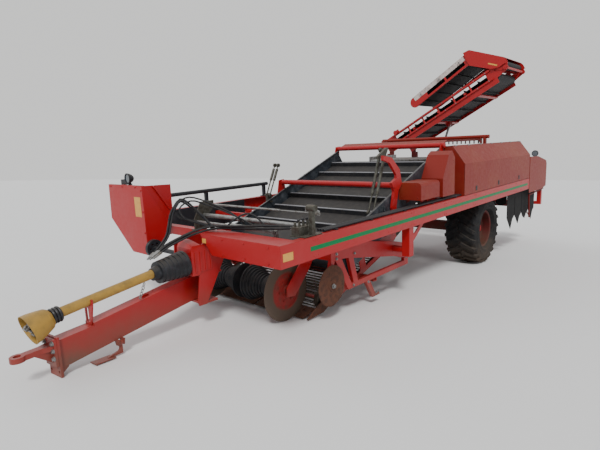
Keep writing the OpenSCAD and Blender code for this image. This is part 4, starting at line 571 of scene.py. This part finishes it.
@dataclass
class Studio:
    """Floor, lamps, world and camera.

    Args:
        reach: Radius of the floor.
        eye: Camera's place, measured from the axle's middle and the ground.
        heading: Camera's horizontal direction.
        pitch: Its tip below the horizon, in degrees.
        lens: Focal length on a 36 mm wide sensor.
    """

    reach: float = 60.0
    eye: Point = (7.618, 4.03, 1.6)
    heading: tuple[float, float] = (-0.743, -0.669)
    pitch: float = 7.3
    lens: float = 27.0

    def build(self, axle_x: float) -> None:
        """Sets up everything around the object.

        Args:
            axle_x: Place of the wheels' axis along the frame.
        """
        self.floor()
        self.world()
        self.lamp("key", 2.2, (45, 0, 130), 12)
        self.lamp("fill", 0.55, (55, 0, 10), 40)
        self.camera(axle_x)

    def floor(self) -> None:
        """Lays a plain pale floor."""
        bpy.ops.mesh.primitive_circle_add(vertices=64, radius=self.reach, fill_type="NGON")
        ground = bpy.context.object
        ground.name = "floor"
        made = bpy.data.materials.new("pale_studio_floor")
        made.use_nodes = True
        shader = made.node_tree.nodes["Principled BSDF"]
        shader.inputs["Base Color"].default_value = linear("#ededeb")
        shader.inputs["Roughness"].default_value = 0.9
        ground.data.materials.append(made)

    def world(self) -> None:
        """Lights the object evenly and shows a pale background."""
        world = bpy.data.worlds.new("studio")
        bpy.context.scene.world = world
        world.use_nodes = True
        tree = world.node_tree
        tree.nodes.clear()
        path = add_node(tree, "LightPath")
        seen = add_node(tree, "Math", {0: path.outputs["Is Camera Ray"], 1: path.outputs["Is Glossy Ray"]},
                        operation="MAXIMUM")
        shown = add_node(tree, "Math", {0: seen.outputs[0], 1: path.outputs["Is Transmission Ray"]},
                         operation="MAXIMUM")
        light = add_node(tree, "Background", color=linear("#f4f6fa"), strength=0.62)
        pale = add_node(tree, "Background", color=linear("#f3f3f2"), strength=1.0)
        mix = add_node(tree, "MixShader", {0: shown.outputs[0], 1: light.outputs[0], 2: pale.outputs[0]})
        add_node(tree, "OutputWorld", {"Surface": mix.outputs[0]})

    def lamp(self, name: str, strength: float, turn: Point, spread: float) -> None:
        """Adds a soft distant lamp.

        Args:
            name: Its name.
            strength: Its power.
            turn: Its turn about each axis, in degrees.
            spread: Its angular width in degrees, which softens the shadows.
        """
        data = bpy.data.lights.new(name, "SUN")
        data.energy = strength
        data.angle = math.radians(spread)
        lamp = bpy.data.objects.new(name, data)
        lamp.rotation_euler = [math.radians(t) for t in turn]
        bpy.context.scene.collection.objects.link(lamp)

    def camera(self, axle_x: float) -> None:
        """Places the camera at the photograph's angle."""
        tip = math.radians(self.pitch)
        size = math.hypot(*self.heading)
        ahead = Vector((self.heading[0] / size * math.cos(tip), self.heading[1] / size * math.cos(tip),
                        -math.sin(tip)))
        data = bpy.data.cameras.new("camera")
        data.lens = self.lens
        data.sensor_width = 36
        data.clip_end = 300
        camera = bpy.data.objects.new("camera", data)
        camera.location = (self.eye[0] + axle_x, self.eye[1], self.eye[2])
        camera.rotation_euler = ahead.to_track_quat("-Z", "Y").to_euler()
        bpy.context.scene.collection.objects.link(camera)
        bpy.context.scene.camera = camera


@dataclass
class SubAssembly:
    """What each group of pieces shares.

    Args:
        frame: The parked machine's axes.
        paint: The materials.
    """

    frame: Frame
    paint: Paintwork

    def hang(self, made: "Maker", name: str, body: str, slot: Slot, finish: Finish | None = None) -> None:
        """Closes a piece and hangs it on its body in its finish.

        Args:
            made: The maker that holds its solids.
            name: The piece's name.
            body: The body that carries it.
            slot: The record's finish that it takes.
            finish: A finish of its own, if it has one.
        """
        made.piece(name, body, self.paint.of(finish or slot))


@dataclass
class Chassis(SubAssembly):
    """Bolts, blank plates and fittings of the chassis.

    Args:
        half_width: Half of the width over the side channels.
        front: Front face ahead of the axle.
        low: Underside of a channel.
        high: Top of a channel.
        members: Where cross members meet the channels.
        films: Lowest and highest corner of each blank film.
        shield_x: Front face of the right shield.
        inset: How far a fastener lies from an edge of a channel.
    """

    half_width: float = 1.5
    front: float = 5.02
    low: float = 1.08
    high: float = 1.28
    members: tuple[float, ...] = (4.56, 3.3, 2.79, 1.9, 0.9, -1.0, -1.32, -2.44)
    films: tuple[tuple[Point, Point], ...] = (
        ((5.03, -0.79, 1.36), (5.0308, -0.655, 1.585)),
        ((4.865, 1.5, 1.137), (4.99, 1.5008, 1.206)),
        ((5.02, 0.44, 1.19), (5.0208, 0.5, 1.235)),
    )
    shield_x: float = 5.03
    inset: float = 0.03

    def build(self) -> None:
        """Builds the chassis pieces."""
        self.bolts()
        self.welds()
        self.shield()
        made = Maker(self.frame.level)
        for low, high in self.films:
            made.box(low, high)
        self.hang(made, "blank_films", "chassis", Slot.PALE, FILM)

    def bolts(self) -> None:
        """Puts low heads where members meet the channels, and bolts on the front sheet."""
        made = Maker(self.frame.level)
        for side in (-1, 1):
            for x in self.members:
                for shift in (-self.inset, self.inset):
                    for z in (self.low + self.inset, self.high - self.inset):
                        made.dome((x + shift, side * self.half_width, z), (0, side, 0))
        for y in (0.75, 1.05, 1.36):
            for z in (self.low + self.inset, self.high - self.inset):
                made.bolt((self.front, y, z), (1, 0, 0), 0.014)
        self.hang(made, "channel_bolts", "chassis", Slot.RED)

    def welds(self) -> None:
        """Runs weld beads along the headstock cheeks and the posts."""
        made = Maker(self.frame.level)
        for y in (0.014, 0.416):
            made.rod((4.622, y, 1.09), (4.622, y, 1.185), 0.005, 8)
            made.rod((4.83, y, 0.856), (5.06, y, 0.856), 0.004, 8)
        for side in (-1, 1):
            for x in (2.74, 2.84):
                made.rod((x, side * 1.382, 1.079), (x, side * 1.478, 1.079), 0.005, 8)
        self.hang(made, "weld_beads", "chassis", Slot.RED)

    def shield(self) -> None:
        """Bolts the right shield along its inner edge and its top."""
        made = Maker(self.frame.level)
        for z in (1.66, 1.42, 1.18, 0.98):
            made.bolt((self.shield_x, -0.625, z), (1, 0, 0), 0.016)
        for y in (-0.75, -1.05, -1.33):
            made.bolt((self.shield_x, y, 1.69), (1, 0, 0), 0.014)
        self.hang(made, "shield_bolts", "chassis", Slot.RED)


@dataclass
class Conveyor(SubAssembly):
    """Wear strips, flange bolts and guard fasteners of the flighted conveyor.

    Args:
        head: Middle of its rear roller along the machine and up.
        slope: Its slope in degrees.
        pitch: Distance between flights.
        flights: Number of flights on top.
        across: From its right side to its left.
        top: Height of a flight's top over the rollers' line.
        edge: Height of the flange on a side sheet.
        heads: Number of rivets on a flight.
        box_bolts: Where a fastener sits on a guard box, and the way it looks.
    """

    head: tuple[float, float] = (1.37415, 1.68344)
    slope: float = 20.8
    pitch: float = 0.37
    flights: int = 6
    across: tuple[float, float] = (-0.64, 1.15)
    top: float = 0.161
    edge: float = 0.26
    heads: int = 8
    box_bolts: tuple[tuple[Point, Point], ...] = (
        ((2.56, 1.22, 1.395), (1, 0, 0)), ((2.56, 1.44, 1.395), (1, 0, 0)), ((2.56, 1.22, 1.545), (1, 0, 0)),
        ((2.56, 1.42, 1.545), (1, 0, 0)), ((1.65, 1.484, 1.37), (0, 1, 0)), ((1.92, 1.484, 1.37), (0, 1, 0)),
        ((1.65, 1.484, 1.8), (0, 1, 0)), ((1.92, 1.484, 1.55), (0, 1, 0)), ((2.15, 1.484, 1.4), (0, 1, 0)),
        ((2.48, 1.484, 1.4), (0, 1, 0)),
    )

    def build(self) -> None:
        """Builds the conveyor's pieces."""
        axes = (self.frame.level @ Matrix.Translation((self.head[0], 0, self.head[1]))
                @ Matrix.Rotation(math.radians(self.slope), 4, "Y"))
        self.wear_strips(axes)
        made = Maker(axes)
        for i in range(7):
            for y in (-0.659, 1.169):
                made.bolt((0.1 + i * self.pitch, y, self.edge), (0, 0, 1), 0.013)
        self.hang(made, "trough_bolts", "chassis", Slot.STEEL)
        made = Maker(self.frame.level)
        for at, way in self.box_bolts:
            made.dome(at, way, 0.022, 0.005)
        # The guard boxes' fasteners take the same enamel darkened as painted shade.
        self.hang(made, "guard_fasteners", "chassis", Slot.RED, FADED_WITH_PAINTED_SHADE)

    def wear_strips(self, axes: Matrix) -> None:
        """Caps each upper flight with its rubbed strip, held by low heads.

        Args:
            axes: The conveyor's own axes.
        """
        strips = Maker(axes)
        heads = Maker(axes)
        low, high = self.across
        for i in range(self.flights):
            x = 0.15 + i * self.pitch
            strips.box((x - 0.0125, low + 0.01, self.top - 0.004),
                       (x + 0.0125, high - 0.01, self.top + 0.0015))
            for k in range(self.heads):
                y = low + 0.12 + k * (high - low - 0.24) / (self.heads - 1)
                heads.dome((x, y, self.top + 0.0015), (0, 0, 1), 0.014, 0.003)
        self.hang(strips, "flight_strips", "chassis", Slot.BELT, POLISHED)
        self.hang(heads, "flight_rivets", "chassis", Slot.STEEL)


@dataclass
class Hood(SubAssembly):
    """Rivets, hinges and latches of the long side hood.

    Args:
        rear: Its rear end.
        front: Its front end.
        side: Its outer face.
        low: Bottom edge of its door.
        hinge: Place of the hinge line across and up.
        knuckles: Number of hinge leaves.
        latches: Where the latches lie along the machine.
        rivets: Number of rivets along the door's bottom edge.
    """

    rear: float = -1.79
    front: float = 1.295
    side: float = 1.5
    low: float = 1.288
    hinge: tuple[float, float] = (1.31, 1.984)
    knuckles: int = 7
    latches: tuple[float, ...] = (-1.15, -0.1, 0.85)
    rivets: int = 13

    def build(self) -> None:
        """Builds the hood pieces."""
        made = Maker(self.frame.level)
        pitch = (self.front - self.rear - 0.2) / (self.knuckles - 1)
        for i in range(self.knuckles):
            x = self.rear + 0.1 + i * pitch
            made.rod((x - 0.035, *self.hinge), (x + 0.035, *self.hinge), 0.0105, 16)
            made.box((x - 0.03, self.hinge[0] - 0.05, self.hinge[1] - 0.001),
                     (x + 0.03, self.hinge[0], self.hinge[1] + 0.004))
        self.hang(made, "hood_hinges", "chassis", Slot.STEEL)
        made = Maker(self.frame.level)
        for x in self.latches:
            made.box((x - 0.03, self.side - 0.001, self.low + 0.03),
                     (x + 0.03, self.side + 0.003, self.low + 0.1))
            made.dome((x, self.side + 0.0025, self.low + 0.075), (0, 1, 0), 0.03, 0.0016)
        self.hang(made, "door_latches", "hood_door", Slot.BLACK)
        made = Maker(self.frame.level)
        for i in range(self.rivets):
            x = self.rear + 0.12 + i * (self.front - self.rear - 0.24) / (self.rivets - 1)
            made.dome((x, self.side, self.low + 0.014), (0, 1, 0), 0.014)
        self.hang(made, "door_rivets", "hood_door", Slot.RED)


@dataclass
class Wheels(SubAssembly):
    """Sidewall rings, hub caps and valves of both wheels.

    Args:
        track: Half the distance between the tyres' middles.
        half_width: Half a tyre's width.
        rings: Radius of each ring, how far it lies inside the widest place, and its thickness.
        studs: Number of wheel nuts.
        stud_circle: Radius of the circle that they lie on.
    """

    track: float = 1.12
    half_width: float = 0.265
    rings: tuple[tuple[float, float, float], ...] = ((0.372, 0.0057, 0.004), (0.395, 0.0036, 0.003),
                                                     (0.43, 0.001, 0.003))
    studs: int = 8
    stud_circle: float = 0.12

    def build(self) -> None:
        """Builds both wheels' pieces."""
        for name, side in (("left", 1), ("right", -1)):
            self.sidewalls(name, side)
            self.hub(name, side)

    def sidewalls(self, name: str, side: int) -> None:
        """Adds the moulded rings on both faces of one tyre."""
        made = Maker(self.frame.level)
        for radius, inset, thick in self.rings:
            for face in (-1, 1):
                y = side * self.track + face * (self.half_width - inset)
                made.ring((0, y, self.frame.axle_height), (0, 1, 0), radius, thick, sides=96)
        self.hang(made, f"sidewall_rings_{name}", f"wheel_{name}", Slot.TYRE)

    def hub(self, name: str, side: int) -> None:
        """Adds the hub cap, wheel studs and valve of one wheel."""
        made = Maker(self.frame.level)
        z = self.frame.axle_height
        outer = side * (self.track + 0.071)
        made.rod((0, outer, z), (0, outer + side * 0.05, z), 0.078, 40, 0.07)
        made.rod((0, outer + side * 0.05, z), (0, outer + side * 0.062, z), 0.07, 40, 0.05)
        self.hang(made, f"hub_cap_{name}", f"wheel_{name}", Slot.RED)
        made = Maker(self.frame.level)
        for i in range(self.studs):
            angle = 2 * math.pi * i / self.studs
            spot = (self.stud_circle * math.sin(angle), side * (self.track + 0.039),
                    z + self.stud_circle * math.cos(angle))
            made.rod(spot, (spot[0], spot[1] + side * 0.014, spot[2]), 0.008, 14)
        made.rod((0.235, side * (self.track + 0.05), z), (0.22, side * (self.track + 0.1), z), 0.006, 12)
        self.hang(made, f"wheel_studs_{name}", f"wheel_{name}", Slot.STEEL)


@dataclass
class Drawbar(SubAssembly):
    """Plate bolts, chain and beads of the drawbar.

    Args:
        length: From its pin to its front plate.
        plate: Thickness of that plate.
        bolt_side: Half the distance between the two rows of bolts.
        bolt_low: Height of the lowest bolt.
        bolt_pitch: Pitch of the bolts.
        chain: Upper and lower end of the chain that holds the guard.
        links: Number of its links.
        collars: Where the rubber rings behind the bell lie.
    """

    length: float = 1.49
    plate: float = 0.02
    bolt_side: float = 0.058
    bolt_low: float = 0.569
    bolt_pitch: float = 0.06
    chain: tuple[Point, Point] = ((0.69, 0.07, 0.93), (0.75, 0.064, 0.80))
    links: int = 5
    collars: tuple[float, ...] = (1.436, 1.46, 1.484)

    def build(self) -> None:
        """Builds the drawbar pieces."""
        axes = self.frame.drawbar()
        made = Maker(axes)
        for side in (-1, 1):
            for i in range(3):
                z = self.bolt_low + i * self.bolt_pitch
                made.bolt((self.length + self.plate + 0.0223, side * self.bolt_side, z), (1, 0, 0), 0.028)
        self.hang(made, "plate_bolts", "drawbar", Slot.STEEL)
        made = Maker(axes)
        start, end = Vector(self.chain[0]), Vector(self.chain[1])
        for i in range(self.links):
            way = (0, 1, 0) if i % 2 else (1, 0, 0.4)
            made.ring(start.lerp(end, (i + 0.5) / self.links), way, 0.011, 0.0035, 0.006, 24)
        self.hang(made, "guard_chain", "drawbar", Slot.STEEL)
        made = Maker(axes)
        for side in (-1, 1):
            x = self.length - 0.001
            made.rod((x, side * 0.062, 0.48), (x, side * 0.062, 0.69), 0.005, 8)
            made.rod((1.192, side * 0.06, 0.71), (1.192, side * 0.06, 0.732), 0.004, 8)
        self.hang(made, "drawbar_welds", "drawbar", Slot.RED)
        made = Maker(axes)
        for x in self.collars:
            made.ring((x, 0.01, 0.878 - (x - 1.5) * 0.12), (1, 0, -0.12), 0.053, 0.012, sides=40)
        self.hang(made, "guard_collars", "drawbar", Slot.LAMP)


@dataclass
class Valves(SubAssembly):
    """Lever knobs and hose couplings.

    Args:
        first: Place of the first lever's top.
        pitch: Pitch of the levers.
        count: Number of levers.
        fan: Shift of each hose in the bundle, across and up.
        hung: Shift of each hose that hangs beside the shield.
        nut: Radius of a coupling's nut.
    """

    first: Point = (4.476, 1.375, 1.43)
    pitch: float = 0.056
    count: int = 4
    fan: tuple[tuple[float, float], ...] = ((0, 0), (0.026, 0.008), (0.006, 0.03), (0.034, 0.036),
                                            (0.058, 0.014))
    hung: tuple[tuple[float, float], ...] = ((0, 0), (0.024, 0.012), (0.01, 0.034))
    nut: float = 0.0125

    def build(self) -> None:
        """Builds the knobs and couplings."""
        made = Maker(self.frame.level)
        for i in range(self.count):
            x, y, z = self.first
            made.ball((x + i * self.pitch, y, z), 0.014)
        self.hang(made, "lever_knobs", "chassis", Slot.LAMP)
        made = Maker(self.frame.level)
        ends = [(Vector((5.33, 0.29 + a, 1.19 + b * 0.7)), Vector((5.44, 0.285 + a, 1.14 + b * 0.5)))
                for a, b in self.fan]
        ends += [(Vector((5.37 + a, 0.244 + b, 1.185)), Vector((5.45 + a, 0.262 + b, 1.14)))
                 for a, b in self.hung]
        for before, end in ends:
            way = (end - before).normalized()
            made.rod(end - way * 0.03, end + way * 0.035, self.nut, 6)
            made.rod(end + way * 0.03, end + way * 0.06, 0.009, 16)
        for a, b in self.fan:
            start = Vector((4.55 + a, 1.3, 1.34 + b * 0.4))
            made.rod(start + Vector((-0.001, 0.003, 0)), start + Vector((0.022, -0.045, -0.003)), self.nut, 6)
        self.hang(made, "hose_couplings", "chassis", Slot.STEEL)


@dataclass
class Lamps(SubAssembly):
    """Lenses and bezels of the two work lamps.

    Args:
        spots: Each lamp's middle, and its turn about the upright in degrees.
        radius: Radius of a lens.
    """

    spots: tuple[tuple[Point, float], ...] = (((-2.27, 1.452, 1.735), 20.0), ((5.0, -0.9, 1.79), 0.0))
    radius: float = 0.053

    def build(self) -> None:
        """Builds the lamps' clear faces."""
        for number, (spot, turn) in enumerate(self.spots, 1):
            axes = self.frame.level @ Matrix.Translation(spot) @ Matrix.Rotation(math.radians(turn), 4, "Z")
            made = Maker(axes)
            made.rod((0.014, 0, 0), (0.027, 0, 0), 0.046, 40, self.radius)
            self.hang(made, f"lamp_lens_{number}", "chassis", Slot.PALE, LENS)
            made = Maker(axes)
            made.ring((0.033, 0, 0), (1, 0, 0), self.radius + 0.002, 0.004, sides=48)
            self.hang(made, f"lamp_bezel_{number}", "chassis", Slot.LAMP)


@dataclass
class Digger(SubAssembly):
    """Bolts, caps and nuts of the digging unit.

    Args:
        arms: Outer face of each side arm across the machine.
        arm_bolts: Where bolts sit on an arm, along and up.
        coulter: Place of the coulters' axis along and up.
        coulter_faces: Hub face of each coulter that looks at a ridge, and the way it looks.
        guide: Place of the guide discs' axis along and up.
        guide_ends: End of each guide disc's axle, and the way it looks.
        share_rows: Right end of each share.
        share_bolts: Number of bolts on a share, and their pitch.
    """

    arms: tuple[tuple[float, int], ...] = ((1.24, 1), (-0.73, -1))
    arm_bolts: tuple[tuple[float, float], ...] = ((2.49, 0.615), (2.49, 0.66), (3.36, 0.51), (3.2, 0.345),
                                                  (3.62, 0.9), (3.94, 0.905), (3.94, 0.955), (3.65, 0.548))
    coulter: tuple[float, float] = (4.34, 0.6)
    coulter_faces: tuple[tuple[str, float, int], ...] = (("left", 0.846, -1), ("right", -0.346, 1))
    guide: tuple[float, float] = (4.06, 0.65)
    guide_ends: tuple[tuple[float, int], ...] = ((1.284, 1), (-0.774, -1))
    share_rows: tuple[float, ...] = (-0.52, 0.25)
    share_bolts: tuple[int, float] = (4, 0.19)

    def build(self) -> None:
        """Builds the digging unit's pieces."""
        made = Maker(self.frame.level)
        for y, side in self.arms:
            for x, z in self.arm_bolts:
                made.bolt((x, y, z), (0, side, 0), 0.022)
        for y, side in self.guide_ends:
            made.bolt((self.guide[0], y, self.guide[1]), (0, side, 0), 0.036)
        self.hang(made, "arm_bolts", "digger", Slot.STEEL)
        made = Maker(self.frame.level)
        count, pitch = self.share_bolts
        for low in self.share_rows:
            for k in range(count):
                made.bolt((4.1, low + 0.075 + k * pitch, 0.3235), (0.264, 0, 0.964), 0.024)
        self.hang(made, "share_bolts", "digger", Slot.RUST)
        for name, y, side in self.coulter_faces:
            made = Maker(self.frame.level)
            x, z = self.coulter
            made.rod((x, y - side * 0.001, z), (x, y + side * 0.005, z), 0.045, 32, 0.038)
            self.hang(made, f"coulter_cap_{name}", f"coulter_{name}", Slot.RED)


@dataclass
class Elevator(SubAssembly):
    """Bolt rows, blank plate and hose stubs of both elevator sections.

    Args:
        front_x: Its front side along the machine.
        slope: Slope of the main section in degrees.
        width: Width over its side sheets.
        rail: Outer face of its side rails.
        rail_heights: Height of each rail's middle.
        reach: Where the bolt rows end.
        bolts: Number of bolts in a row.
        fold: Slope of the outer section in degrees.
        strip: Outer face of the pale strip.
        strip_low: Lower edge of the pale strip.
        strip_bolts: Place of the strip's first pair of bolts, their pitch and the number of pairs.
        rollers: Where guide rollers sit on the strip.
        plate: Corners of the blank plate on the knee hood.
        plate_faces: Its inner and its outer face.
        eye: Cylinder's eye on the main section.
        foot: Cylinder's foot across and up.
        cylinder_x: Cylinder's place along the machine.
    """

    front_x: float = -1.4
    slope: float = 28.8
    width: float = 0.96
    rail: float = 0.03
    rail_heights: tuple[float, float] = (0.151, -0.019)
    reach: tuple[float, float] = (0.2, 2.36)
    bolts: int = 10
    fold: float = 212.5
    strip: float = 0.0183
    strip_low: float = -0.698
    strip_bolts: tuple[float, float, int] = (0.54, 0.148, 9)
    rollers: tuple[float, ...] = (0.627, 1.107, 1.572)
    plate: tuple[tuple[float, float], ...] = ((0.195, -0.262), (0.085, -0.125), (0.105, -0.109),
                                              (0.215, -0.246))
    plate_faces: tuple[float, float] = (0.0461, 0.0471)
    eye: tuple[float, float] = (1.15, -0.195)
    foot: tuple[float, float] = (-0.45, 1.4)
    cylinder_x: float = -1.88

    def build(self) -> None:
        """Builds the elevator's pieces."""
        main = self.frame.elevator("elevator_lift", self.front_x, self.slope)
        outer = self.frame.elevator("elevator_fold", self.front_x, self.fold)
        made = Maker(main)
        for i in range(self.bolts):
            u = self.reach[0] + i * (self.reach[1] - self.reach[0]) / (self.bolts - 1)
            for v in self.rail_heights:
                made.bolt((self.rail, u, v), (1, 0, 0), 0.014)
                made.bolt((-self.width - self.rail, u, v), (-1, 0, 0), 0.014)
        self.hang(made, "elevator_bolts", "elevator", Slot.STEEL)
        made = Maker(outer)
        for u in self.rollers:
            made.bolt((0.0393, u, self.strip_low + 0.06), (1, 0, 0), 0.024)
            made.bolt((-0.9993, u, self.strip_low + 0.06), (-1, 0, 0), 0.024)
        first, pitch, pairs = self.strip_bolts
        for i in range(pairs):
            u = first + i * pitch
            for v in (0.012, 0.084):
                made.dome((self.strip, u, self.strip_low + v), (1, 0, 0), 0.016)
        self.hang(made, "strip_bolts", "elevator_outer", Slot.STEEL)
        made = Maker(outer)
        faces = [[made.mesh.verts.new((x, u, v)) for u, v in self.plate] for x in self.plate_faces]
        for loop in faces:
            made.mesh.faces.new(loop)
        for i in range(4):
            k = (i + 1) % 4
            made.mesh.faces.new((faces[0][i], faces[0][k], faces[1][k], faces[1][i]))
        self.hang(made, "knee_film", "elevator_outer", Slot.PALE, FILM)
        self.cylinder(main)

    def cylinder(self, main: Matrix) -> None:
        """Adds the lift cylinder's hose stubs.

        Args:
            main: The main section's axes.
        """
        made = Maker(self.frame.level)
        eye = self.frame.level.inverted() @ main @ Vector((self.cylinder_x - self.front_x, *self.eye))
        foot = Vector((self.cylinder_x, *self.foot))
        way = (eye - foot).normalized()
        side = Vector((1, 0, 0))
        for reach in (0.13, 0.52):
            start = foot + way * reach + side * 0.043
            made.rod(start, start + side * 0.03, 0.014, 6)
            made.rod(start + side * 0.028, start + side * 0.05, 0.01, 16)
        self.hang(made, "cylinder_ports", "lift_cylinder", Slot.STEEL)


def main() -> None:
    """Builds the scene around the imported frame."""
    logging.basicConfig(level=logging.INFO, format="%(name)s: %(message)s")
    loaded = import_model()
    frame = Frame(loaded)
    paint = Paintwork()
    paint.dress(loaded)
    axle_x = frame.joints["wheel_left_spin"]["pos_m"][0]
    Studio().build(axle_x)
    for group in (Chassis, Conveyor, Hood, Wheels, Drawbar, Valves, Lamps, Digger, Elevator):
        group(frame, paint).build()
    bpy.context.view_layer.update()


if __name__ == "__main__":
    main()
